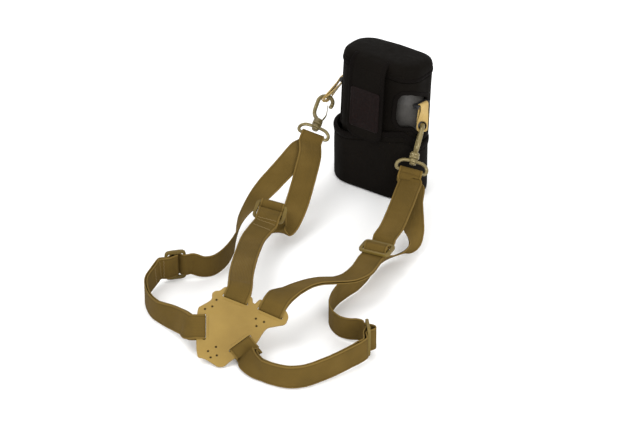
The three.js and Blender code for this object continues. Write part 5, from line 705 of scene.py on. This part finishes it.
# ------------------------------------------------------------------- tabs
TSECT = [(-6, 0.0), (-5.92, 0.34), (-5.6, 0.56), (-4.9, 0.62), (-2.5, 0.63), (0, 0.63), (2.5, 0.63), (4.9, 0.62), (5.6, 0.56), (5.92, 0.34), (6, 0)]
TSECT = TSECT + [(a, -b) for a, b in TSECT[-2:0:-1]]
for side, h in HKS.items():
    fr = refine(LINES["tab_" + side], 1.2)
    P, W, N, S = fr
    v, uv = [], []
    n = len(P)
    for i in range(n):
        e = min(S[i], S[-1] - S[i])
        k = 1.0 if e > 3.5 else 0.62 + 0.38 * math.sqrt(max(0.0, 1 - (1 - e / 3.5) ** 2))      # rounded ends
        for a, c in TSECT:
            v.append(P[i] + W[i] * a * k + N[i] * c)
            uv.append((S[i] * MM, a * MM))
    H = h["L"] + h["A"] * 1.0
    cutter = Build().add(*sweep([H + h["X"] * q for q in (-9, -3, 3, 9)], 4.75, 28, ref=h["A"], sub=1)).done("cutter", TABM)

    def hole(ob, c=cutter):
        m = ob.modifiers.new("hole", "BOOLEAN")
        m.operation = "DIFFERENCE"
        m.object = c
        m.solver = "EXACT"

    b = Build().add(v, grid_faces(n, len(TSECT), caps=True), uv)
    t = b.done("folded_tab_" + side, TABM, node="tab_" + side, slot="tab", mods=[hole], angle=50)
    bpy.data.objects.remove(cutter)
    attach(t, "base")

# ------------------------------------------------------------------ cover
yaw = math.radians(-35)
lean = math.radians(2.1)
ez = np.array([math.sin(lean), 0, math.cos(lean)])
CX0 = np.array([math.cos(yaw), math.sin(yaw), 0.0])
CY0 = np.array([-math.sin(yaw), math.cos(yaw), 0.0])
Rl = np.array([[math.cos(lean), 0, math.sin(lean)], [0, 1, 0], [-math.sin(lean), 0, math.cos(lean)]])
CC = np.array([65.8, 70.6, 0.0]) + OFF
flat_tf = basis(CC, CX0, CY0, (0, 0, 1))
up_tf = basis(CC + np.array([0, 0, 1.0]), Rl @ CX0, Rl @ CY0, Rl @ np.array([0, 0, 1.0]))


def rrect(w, d, r, n=120, cx=0.0):
    """Rounded outline, evenly spaced from the middle of the front (-y), anticlockwise."""
    r = min(r, w / 2 - 0.01, d / 2 - 0.01)
    hw, hd = w / 2 - r, d / 2 - r
    segs = [("l", (0, -d / 2), (hw, -d / 2)), ("a", (hw, -hd), -0.25), ("l", (w / 2, -hd), (w / 2, hd)), ("a", (hw, hd), 0), ("l", (hw, d / 2), (-hw, d / 2)), ("a", (-hw, hd), 0.25), ("l", (-w / 2, hd), (-w / 2, -hd)), ("a", (-hw, -hd), 0.5), ("l", (-hw, -d / 2), (0, -d / 2))]
    L = [math.hypot(s[2][0] - s[1][0], s[2][1] - s[1][1]) if s[0] == "l" else r * math.pi / 2 for s in segs]
    tot = sum(L)
    out = []
    for i in range(n):
        t = i / n * tot
        for s, l in zip(segs, L):
            if t <= l + 1e-9:
                break
            t -= l
        f = t / l if l else 0
        if s[0] == "l":
            out.append((cx + s[1][0] + (s[2][0] - s[1][0]) * f, s[1][1] + (s[2][1] - s[1][1]) * f))
        else:
            q = (s[2] + 0.25 * f) * TAU
            out.append((cx + s[1][0] + r * math.cos(q), s[1][1] + r * math.sin(q)))
    return np.array(out)


def solid(th, off=-1.0):
    def f(ob):
        m = ob.modifiers.new("wall", "SOLIDIFY")
        m.thickness = th * MM
        m.offset = off
        m.use_even_offset = True
        m.use_rim = True

    return f


NO = 120


def rise(x, y):
    """How much higher the soft rim of the pocket stands than on the left: it climbs to the right front corner."""
    if y > 0 or x < -30:
        return 0.0
    th = math.degrees(math.atan2(y, x - 25)) if x > 25 else -90.0
    if x <= 25:
        a = max(0.0, min(1.0, (x + 30) / 55))
        return 15.5 * a * a * (3 - 2 * a) * min(1.0, -y / 20)
    return float(np.interp(th, (-90, -72, -52, -36, -24, -14), (15.5, 18.5, 19.5, 13, 3.5, 0)))


def lift(x, y, z):
    k = max(0.0, (z - 12) / 50.6)
    return rise(x, y) * k * k


# lower pocket: wall, rounded foot and floor
cup = []
for ins, z in [(40, 0.35), (20, 0.3), (8, 0.25), (3.5, 0.25), (1.4, 0.9), (0.35, 2.4), (0, 4.5)] + [(0, z) for z in np.linspace(8, 62.6, 16)]:
    o = rrect(110 - 2 * ins, max(60 - 2 * ins, 2 + (60 - 2 * ins) * 0.0 + 0.5) if ins > 29 else 60 - 2 * ins, 30 - ins if ins < 29 else 0.6, NO)
    ring = []
    for x, y in o:
        k = 0.0
        if 6 < z < 62:
            nx, ny = x / 55, y / 30
            k = 0.55 * wob((x, y, z), 0.4) * math.sin((z - 6) / 56 * math.pi) - 0.45 * math.exp(-((z - 57) / 5) ** 2)
        c = math.hypot(x, y) + 1e-6
        ring.append((x * (1 + k / c), y * (1 + k / c), z + lift(x, y, z)))
    cup.append(ring)
v = [p for r_ in cup for p in r_]
f = grid_faces(len(cup), NO, True)
v.append((0, 0, 0.35))
f += [(len(v) - 1, (j + 1) % NO, j) for j in range(NO)]
uvs = [(p[0] * MM, p[2] * MM) for p in v]
cupo = Build().add(v, f, uvs).done("pocket_shell", NEO, body="base", node="cover_body", slot="neoprene", mods=[solid(3.0)], sub=1, tf=flat_tf)


def band(name, path, w, t, body, tf, mat=None, closed=True, node="cover_body", ref=(0, 0, 1), slot_="neoprene"):
    """Flattened binding tape along a path: w wide along ref, t thick."""
    P = np.asarray(path, float)
    n = len(P)
    rings = []
    uv = []
    s = 0
    for i in range(n):
        a = P[(i - 1) % n] if closed else P[max(0, i - 1)]
        c = P[(i + 1) % n] if closed else P[min(n - 1, i + 1)]
        tt = unit(c - a)
        u = unit(np.array(ref, float) - tt * (np.array(ref, float) @ tt))
        q = np.cross(tt, u)
        s += np.linalg.norm(P[i] - P[i - 1]) if i else 0
        for j in range(16):
            g = TAU * j / 16
            ca, sa = math.cos(g), math.sin(g)
            rings.append(P[i] + u * (w / 2) * math.copysign(abs(ca) ** 0.55, ca) + q * (t / 2 + 0.06 * math.sin(s / 1.1)) * math.copysign(abs(sa) ** 0.7, sa))
            uv.append((s * MM, g))
    return Build().add(rings, grid_faces(n, 16, True, closed, caps=not closed), uv).done(name, mat or BIND, body=body, node=node, slot=slot_, tf=tf)


rim = [(x, y, 61.6 + 0.3 * math.sin(i * TAU / 180 * 3) + rise(x * 1.026, y * 1.05)) for i, (x, y) in enumerate(rrect(107.2, 57.2, 28.6, 180))]
band("pocket_binding", rim, 7.0, 4.6, "base", flat_tf)


def seam(path, body, tf, name, node, gap=2.6, r=0.26, slot_="neoprene", mat=None, normal=None):
    """A row of separate stitches along a path (points with the surface normal)."""
    P = [np.array(p[:3], float) for p in path]
    Nn = [np.array(p[3:6], float) for p in path]
    S = np.concatenate([[0], np.cumsum([np.linalg.norm(P[i + 1] - P[i]) for i in range(len(P) - 1)])])
    b = Build()
    t = 0.4
    while t + gap * 0.75 < S[-1]:
        pts = []
        for q, up in ((0, -0.25), (0.2, 0.05), (0.5, 0.12), (0.8, 0.05), (1, -0.25)):
            x = t + q * gap * 0.72
            i = min(int(np.searchsorted(S, x)) - 1, len(P) - 2)
            i = max(i, 0)
            g = (x - S[i]) / max(S[i + 1] - S[i], 1e-6)
            pts.append(P[i] * (1 - g) + P[i + 1] * g + unit(Nn[i] * (1 - g) + Nn[i + 1] * g) * up)
        b.add(*sweep(pts, r, 6, ref=Nn[0] + np.array((0.01, 0.02, 0.03)), sub=1))
        t += gap
    return b.done(name, mat or BIND, body=body, node=node, slot=slot_, tf=tf)


base_seam = rrect(110.3, 60.3, 30.1, 200)
seam([(x, y, 56.6 + lift(x, y, 56.6), x / 55, y / 30, 0) for x, y in rrect(110.1, 60.1, 30, 160)], "base", flat_tf, "pocket_stitch", "cover_body")

# upper sleeve with side windows
BW, BD, BR, BX = 96.0, 54.4, 20.0, 1.5


def arc_right(x, y):
    """Distance along the sleeve from the front face at x = 27, round the right corner."""
    cx, cy = 29.5, -7.2
    if y < cy and x > cx:
        return 2.5 + 20 * (math.pi / 2 + math.atan2(y - cy, x - cx))
    return (x - 27) if y < cy else 33.9 + (y - cy)


def arch_z(s):
    """Lower and upper edge of the right window at that distance."""
    if s < 2 or s > 50.3:
        return None
    lo = 86 - 18 * max(0.0, min(1.0, (s - 22) / 16)) ** 1.5 if s > 22 else 86.0
    if s > 44:
        lo += 8 * (1 - math.sqrt(max(0.0, 1 - ((s - 44) / 6.3) ** 2)))
    if s < 14:
        e = math.sqrt(max(0.0, 1 - ((14 - s) / 12) ** 2))
        return 105 - (105 - lo) * e, 105 + 25 * e
    top = 130 - 12 * max(0.0, min(1.0, (s - 22) / 28))
    if s > 44:
        top -= 8 * (1 - math.sqrt(max(0.0, 1 - ((s - 44) / 6.3) ** 2)))
    return lo, top


def in_window(x, y, z):
    if x < 0:
        return abs(x) > 33 and y > -19 and 64.5 < z < 117 and not ((z > 113.5 or z < 68) and (y < -15.5 or (y > 25 and abs(x) < 36)))
    if x < 26:
        return False
    if y > 9:
        return False
    a = arch_z(arc_right(x, y))
    return a is not None and a[0] < z < a[1]
levels = list(np.linspace(50, 64.5, 6)) + list(np.linspace(66.6, 114.9, 24)) + [117.0] + list(np.linspace(119.1, 141.6, 12))
NS = 180
out = rrect(BW, BD, BR, NS, BX)
v = []
for z in levels:
    for j, (x, y) in enumerate(out):
        k = 0.7 * wob((x, y, z), 1.3) * min(1, (z - 50) / 20) - (1.6 if z < 63 else 0)
        if y > -20 and abs(x - BX) > 30 and 66 < z < 116:
            k *= 0.3
        c = math.hypot(x - BX, y) + 1e-6
        v.append((BX + (x - BX) * (1 + k / c), y * (1 + k / c), z))
f = []
for i in range(len(levels) - 1):
    for j in range(NS):
        x, y = (out[j] + out[(j + 1) % NS]) / 2
        z = (levels[i] + levels[i + 1]) / 2
        if in_window(x, y, z):
            continue
        a, b2 = i * NS, (i + 1) * NS
        f.append((a + j, a + (j + 1) % NS, b2 + (j + 1) % NS, b2 + j))
uvs = [(p[0] * MM, p[2] * MM) for p in v]
Build().add(v, f, uvs).done("sleeve_shell", NEO, body="base", node="cover_body", slot="neoprene", mods=[solid(3.0)], sub=1, tf=up_tf)


def on_out(y=None, x=None, sx=1):
    """Index on the sleeve outline nearest a window corner."""
    best = min(range(NS), key=lambda j: (abs(out[j][1] - y) if y is not None else abs(out[j][0] - x)) + (0 if out[j][0] * sx > 0 else 500) + (0 if (y is not None or out[j][1] > 0) else 500))
    return best


for sx, nm in ((1, "right"), (-1, "left")):
    j0, j1 = on_out(y=-19, sx=sx), on_out(x=33 * sx, sx=sx)
    idx = list(range(j0, j1 + 1)) if sx > 0 else list(range(j1, j0 + 1))[::-1]
    arc = [out[j] for j in idx]
    sh = lambda p, k=1.5: (BX + (p[0] - BX) * (1 - k / (math.hypot(p[0] - BX, p[1]))), p[1] * (1 - k / (math.hypot(p[0] - BX, p[1]))))
    colb = [(*sh(arc[-1]), z) for z in np.linspace(69, 113, 12)]
    if sx > 0:
        j0 = next(j for j in range(NS // 2) if out[j][0] > 28.4)
        j1 = max(j for j in range(NS // 2) if out[j][0] > 40 and out[j][1] < 9.2)
        arc = [out[j] for j in range(j0, j1 + 1)]
        edge_z = [arch_z(min(50.2, max(2.3, arc_right(x, y)))) for x, y in arc]
        colb = [(*sh(arc[-1]), z) for z in np.linspace(edge_z[-1][0] + 3, edge_z[-1][1] - 3, 8)]
        lo = [(*sh(p), e[0]) for p, e in zip(arc, edge_z)]
        hi = [(*sh(p), e[1]) for p, e in zip(arc, edge_z)]
        ring = lo[:-1] + colb + hi[1:-1][::-1]
    else:
        lo = [(*sh(p), 65.2) for p in arc]
        hi = [(*sh(p), 116.6) for p in arc]
        colf = [(*sh(arc[0]), z) for z in np.linspace(69, 113, 12)]
        ring = lo[1:-1] + colb + hi[1:-1][::-1] + colf[::-1]
    P = catmull(ring, 2, True)
    # tape turned over the cut edge
    n = len(P)
    cen = np.mean(P, axis=0)
    rr, uv, s = [], [], 0.0
    for i in range(n):
        tt = unit(P[(i + 1) % n] - P[(i - 1) % n])
        rad = unit(np.array([P[i][0] - BX, P[i][1], 0]))
        u = unit(rad - tt * (rad @ tt))
        q = np.cross(tt, u)
        s += np.linalg.norm(P[i] - P[i - 1]) if i else 0
        for j in range(14):
            g = TAU * j / 14
            ca, sa = math.cos(g), math.sin(g)
            rr.append(P[i] + u * 2.15 * math.copysign(abs(ca) ** 0.6, ca) + q * 2.6 * math.copysign(abs(sa) ** 0.7, sa))
            uv.append((s * MM, g))
    Build().add(rr, grid_faces(n, 14, True, True), uv).done("window_binding_" + nm, BIND, body="base", node="cover_body", slot="neoprene", tf=up_tf)

# lid
SAG = lambda x, y: 4 * max(0, -x / 50) + 3.5 * max(0, y / 27)
prof = [(0, 0), (0, 4), (0, 8), (0.5, 12), (2, 15), (5, 17), (9, 18), (15, 18.3), (21, 18.3), (26.4, 18.2)]
v = []
ND = 120
for q, (ins, z) in enumerate(prof):
    w, d, r = BW - 2 * ins, BD - 2 * ins, max(0.4, BR - ins * 0.9)
    for x, y in rrect(w, max(d, 1.6), r, ND, BX):
        zz = 142.3 + z - SAG(x, y) * max(0, z - 7) / 11
        c = math.hypot(x - BX, y) + 1e-6
        k = 0.6 * wob((x, y, zz), 2.2) * min(1, z / 6) if ins < 10 else 0
        if ins >= 5:
            zz -= 1.6 * math.exp(-((x - 6) / 26) ** 2 - ((y + 2) / 14) ** 2) + 0.5 * wob((x * 1.7, y * 1.6, 0), 0.9)
        v.append((BX + (x - BX) * (1 + k / c), y * (1 + k / c), zz))
f = grid_faces(len(prof), ND, True)
last = (len(prof) - 1) * ND
# close the top strip across
for j in range(ND // 2):
    a, b2 = last + (ND // 4 + j) % ND, last + (ND // 4 + j + 1) % ND
    c2, d2 = last + (ND // 4 - j - 1) % ND, last + (ND // 4 - j) % ND
    if len({a, b2, c2, d2}) == 4:
        f.append((a, b2, c2, d2))
    elif len({a, b2, c2, d2}) == 3:
        f.append(tuple(dict.fromkeys((a, b2, c2, d2))))
uvs = [(p[0] * MM, p[1] * MM) for p in v]
Build().add(v, f, uvs).done("lid_shell", NEO, body="lid", node="cover_lid", slot="neoprene", mods=[solid(2.8)], sub=1, tf=up_tf)
band("lid_binding", [(x, y, 144.4) for x, y in rrect(BW - 1.6, BD - 1.6, BR - 0.8, 160, BX)], 4.6, 3.4, "lid", up_tf, node="cover_lid")
seam([(x, y, 149.6 , (x - BX) / 48, y / 27, 0) for x, y in rrect(BW + 0.1, BD + 0.1, BR + 0.1, 140, BX)], "lid", up_tf, "lid_stitch", "cover_lid")

# front flap
line = catmull([(-22.5, 157.2), (-27.5, 155.2), (-31.2, 151.4), (-32.9, 146), (-33.4, 138), (-33.3, 124), (-33.2, 108), (-33.3, 92), (-33.4, 78), (-33.4, 66.5)], 6)
nx = 26
v, uv = [], []
for y, z in line:
    hw = 23.0
    e = z - 66.5
    if e < 8:
        hw = 15 + math.sqrt(max(0.0, 64 - (8 - e) ** 2))
    for j in range(nx):
        x = -2.75 + (-hw + 2 * hw * j / (nx - 1)) * 0.88
        bow = 0.7 * (1 - ((x + 2.75) / 20.25) ** 2) if z < 146 else 0
        v.append((x, y - bow + 0.35 * wob((x, 0, z), 3.1), z))
        uv.append((x * MM, z * MM))
Build().add(v, grid_faces(len(line), nx, False), uv).done("front_flap", NEO, body="lid", node="cover_lid", slot="neoprene", mods=[solid(2.6, 0.0)], sub=1, tf=up_tf)
edge = []
for y, z in line[::2]:
    e = z - 66.5
    hw = 23.0 if e >= 8 else 15 + math.sqrt(max(0.0, 64 - (8 - e) ** 2))
    edge.append(((hw - 0.6) * 0.88, y - 0.05, z))
bot = [(x, -33.5, 66.9) for x in np.linspace(12.3, -12.3, 12)]
path = [(x - 2.75, y, z) for x, y, z in edge + bot + [(-x, y, z) for x, y, z in edge[::-1]]]
P = np.array(path)
keepP = [P[0]]
for p in P[1:]:
    if np.linalg.norm(p - keepP[-1]) > 1.2:
        keepP.append(p)
band("flap_binding", keepP, 3.6, 5.2, "lid", up_tf, closed=False, node="cover_lid", ref=(0, -1, 0))


def pad(name, x0, x1, z0, z1, y0, t, body, node, r=3.0):
    """Hook-and-loop patch: a thin pillow with a sewn-down border."""
    n1, n2 = 40, 44
    v, uv = [], []
    for s_ in (0, 1):
        for i in range(n2):
            for j in range(n1):
                a, c = j / (n1 - 1), i / (n2 - 1)
                x, z = x0 + (x1 - x0) * a, z0 + (z1 - z0) * c
                ex, ey = min(a, 1 - a) * (x1 - x0), min(c, 1 - c) * (z1 - z0)
                if ex < r and ey < r:                      # round the corners
                    dx, dy = r - ex, r - ey
                    L = math.hypot(dx, dy)
                    if L > r:
                        m_ = r / L
                        ex2, ey2 = r - dx * m_, r - dy * m_
                        x = x0 + ex2 if a < 0.5 else x1 - ex2
                        z = z0 + ey2 if c < 0.5 else z1 - ey2
                e = min(ex, ey)
                h_ = t * (0.45 + 0.55 * min(1, e / 0.8)) - 0.35 * math.exp(-((e - 2.6) / 0.5) ** 2) + (0.16 * (hsh(i * 71 + j * 13) - 0.5) if e > 3 else 0)
                v.append((x, y0 - (h_ if s_ else 0), z))
                uv.append((x * MM, z * MM))
    f = []
    for s_ in (0, 1):
        o_ = s_ * n1 * n2
        for i in range(n2 - 1):
            for j in range(n1 - 1):
                q = (o_ + i * n1 + j, o_ + i * n1 + j + 1, o_ + (i + 1) * n1 + j + 1, o_ + (i + 1) * n1 + j)
                f.append(q if s_ else q[::-1])
    O2 = n1 * n2
    per = [j for j in range(n1)] + [i * n1 + n1 - 1 for i in range(1, n2)] + [(n2 - 1) * n1 + j for j in range(n1 - 2, -1, -1)] + [i * n1 for i in range(n2 - 2, 0, -1)]
    for a in range(len(per)):
        p, q = per[a], per[(a + 1) % len(per)]
        f.append((p, q, O2 + q, O2 + p))
    return Build().add(v, f, uv).done(name, PATCH, body=body, node=node, slot="hook_loop", tf=up_tf)


pad("patch_front", -21.0, 15.7, 77, 124, -34.75, 1.25, "lid", "flap_patch")
pad("patch_behind", -20, 15, 80, 120, -27.9, 1.1, "base", "body_patch")

# --------------------------------------------------------------- binocular
BAX = 26.0
for side, sx in (("left", -1), ("right", 1)):
    prof = [(23.6, 6), (24.2, 6.5), (24.4, 8), (24.4, 24), (24.1, 26.5), (23.2, 31), (21.9, 42), (21.2, 49), (20.4, 57), (19.9, 60), (19.9, 68), (19.5, 68.6), (19.5, 70.4), (19.9, 71), (19.9, 111), (19.7, 113), (17.0, 117.2), (15.2, 122), (14.6, 124), (14.6, 137.6), (14.2, 138),
            (12.6, 138), (12.4, 137.5), (12.4, 121), (17, 106), (17.2, 58), (18.6, 44), (21.4, 30), (21.4, 6.6), (21.9, 6)]
    b = Build().add(*lathe(prof, 72, closed=True, cx=sx * BAX))
    kz = (80, 90.5) if sx < 0 else (91, 101)
    x0, x1 = sorted((sx * 3.6, sx * (BAX - 18.0)))
    b.add(*block(x0, x1, -4, 4, kz[0] + 0.2, kz[1] - 0.2))
    b.add(*lathe([(4.8, kz[0]), (5.15, kz[0] + 0.4), (5.15, kz[1] - 0.4), (4.8, kz[1]), (2.9, kz[1]), (2.9, kz[0])], 40, closed=True))
    for q in range(9):                                     # grip ribs on the outside of the barrel
        z = 76 + q * 3.2
        a = math.radians(20 if sx > 0 else 160)
        pts = [(sx * BAX + 19.95 * math.cos(a + w_ * sx), 19.95 * math.sin(a + w_ * sx), z) for w_ in np.linspace(0.5, 1.5, 8)]
        b.add(*sweep(pts, 0.5, 6, ref=(0, 0, 1), sub=1))
    b.done("barrel_armour_" + side, ARM, body="base", node="barrel_" + side, slot="armour", angle=38, tf=up_tf)
    Build().add(*lathe([(0, 9.2), (6, 9.3), (12, 9.7), (17, 10.2), (20.4, 10.8), (20.8, 11.2), (20.8, 12.9), (0, 12.9)], 56, cx=sx * BAX)).done("objective_glass_" + side, GLASS, body="base", node="objective_lens_" + side, slot="glass", angle=40, tf=up_tf)
    Build().add(*lathe([(0, 130.1), (11.9, 130.1), (11.9, 133.1), (9.5, 134), (6, 134.6), (3, 134.8), (0, 134.85)], 44, cx=sx * BAX)).done("ocular_glass_" + side, GLASS, body="base", node="ocular_lens_" + side, slot="glass", angle=40, tf=up_tf)
    Build().add(*lathe([(15.6, 136.8), (16.2, 137.4), (16.4, 138.2), (16.4, 140), (16.1, 140.3), (16.4, 140.6), (16.4, 142.4), (16.1, 142.7), (16.4, 143), (16.4, 146.6), (16.6, 147.6), (16.5, 148.3), (16.0, 148.6), (15.5, 148.3), (15.1, 147.4), (15.05, 137.2), (15.2, 136.8)], 56, closed=True, cx=sx * BAX)).done("eyecup_rubber_" + side, TRIM, body="cup_" + side, node="eyecup_" + side, slot="trim", angle=50, tf=up_tf)
    q = math.radians(-8) if sx > 0 else math.pi + math.radians(8)
    R0, LO, LZ = 20.2, 24.9, 111.5
    b = Build()
    b.add(*block(R0, R0 + 0.9, -9.6, 9.6, LZ - 4, LZ + 1.8))
    b.add(*block(R0 + 0.4, LO + 1.3, -9.5, -7.7, LZ - 2.6, LZ + 2))
    b.add(*block(R0 + 0.4, LO + 1.3, 7.7, 9.5, LZ - 2.6, LZ + 2))
    b.add(*sweep([(LO, y, LZ) for y in (-8.6, -4, 0, 4, 8.6)], 1.1, 14, ref=(0, 0, 1), sub=1))
    cq, sq = math.cos(q), math.sin(q)
    b.v = [(sx * BAX + x * cq - y * sq, x * sq + y * cq, z) for x, y, z in b.v]
    b.done("lug_loop_" + side, TRIM, body="base", node="strap_lug_" + side, slot="trim", bevel=0.3, angle=45, tf=up_tf)
Build().add(*lathe([(0, 77.6), (3.6, 77.6), (4.5, 78), (4.6, 79.2), (2.55, 79.6), (2.55, 132.6), (2.2, 133), (0, 133)], 32)).done("hinge_rod", TRIM, body="base", node="hinge_pin", slot="trim", angle=40, tf=up_tf)
b = Build().add(*lathe([(4.2, 102), (4.9, 102.6), (5, 125), (6.4, 128), (8.6, 129.8), (9, 130.4), (9, 134.8), (8.6, 135.6), (8.2, 136), (3.4, 136), (2.95, 135.6), (2.95, 102.4), (3.3, 102)], 48, closed=True))
for i in range(30):                                        # grip ribs
    a = TAU * i / 30
    b.add(*sweep([(8.95 * math.cos(a), 8.95 * math.sin(a), z) for z in (130.6, 132, 133.4, 134.7)], 0.32, 6, ref=(1, 0.01, 0), sub=1))
b.done("focus_knob", TRIM, body="focus", node="focus_wheel", slot="trim", angle=45, tf=up_tf)
b = Build().add(*lathe([(15.7, 126.2), (16.2, 126.6), (16.2, 131.1), (15.7, 131.5), (15.1, 131.5), (15.05, 131.2), (15.05, 126.5), (15.1, 126.2)], 64, closed=True, cx=BAX))
for i in range(44):
    a = TAU * i / 44
    b.add(*sweep([(BAX + 16.2 * math.cos(a), 16.2 * math.sin(a), z) for z in (127, 128.2, 129.6, 130.7)], 0.26, 6, ref=(1, 0.01, 0), sub=1))
b.done("diopter_grip", TRIM, body="diopter", node="diopter_ring", slot="trim", angle=45, tf=up_tf)

# ------------------------------------------------------------------ stage
me = bpy.data.meshes.new("floor")
me.from_pydata([(-6, -6, 0), (6, -6, 0), (6, 6, 0), (-6, 6, 0)], [], [(0, 1, 2, 3)])
floor = bpy.data.objects.new("floor", me)
SCN.collection.objects.link(floor)
fm = Mat("floor_pale", (0.97, 0.97, 0.965), 0.95, spec=0.0)
fm.color(fm.ramp(fm.noise(3.0, 2.0), [(0.3, (0.965, 0.965, 0.96)), (0.7, (0.975, 0.975, 0.97))]))
me.materials.append(fm.m)


def area(name, loc, target, size, power, col=(1, 1, 1)):
    li = bpy.data.lights.new(name, "AREA")
    li.shape = "DISK"
    li.size = size
    li.energy = power
    li.color = col
    o = bpy.data.objects.new(name, li)
    o.location = loc
    o.rotation_euler = (Vector(target) - Vector(loc)).to_track_quat("-Z", "Y").to_euler()
    SCN.collection.objects.link(o)


area("key", (-0.9, -0.6, 1.9), (0, 0, 0), 1.3, 15)
area("fill", (0.7, -2.0, 0.75), (0, -0.05, 0.05), 1.1, 34)
area("back", (0.2, 1.5, 1.5), (0, 0, 0.05), 1.5, 9)
w = bpy.data.worlds.new("studio")
SCN.world = w
w.use_nodes = True
w.node_tree.nodes["Background"].inputs[0].default_value = (1, 1, 1, 1)
w.node_tree.nodes["Background"].inputs[1].default_value = 1.0
SCN.view_settings.view_transform = "Standard"
SCN.view_settings.look = "None"

cam = bpy.data.cameras.new("cam")
cam.sensor_width = 36
cam.lens = 2805 / 640 * 36
cam.clip_start = 0.05
cam.clip_end = 50
co = bpy.data.objects.new("cam", cam)
co.location = (OFF[0] * MM, OFF[1] * MM - 3 * math.cos(math.radians(31)), 3 * math.sin(math.radians(31)))
co.rotation_euler = (math.radians(59), 0, 0)
SCN.collection.objects.link(co)
SCN.camera = co
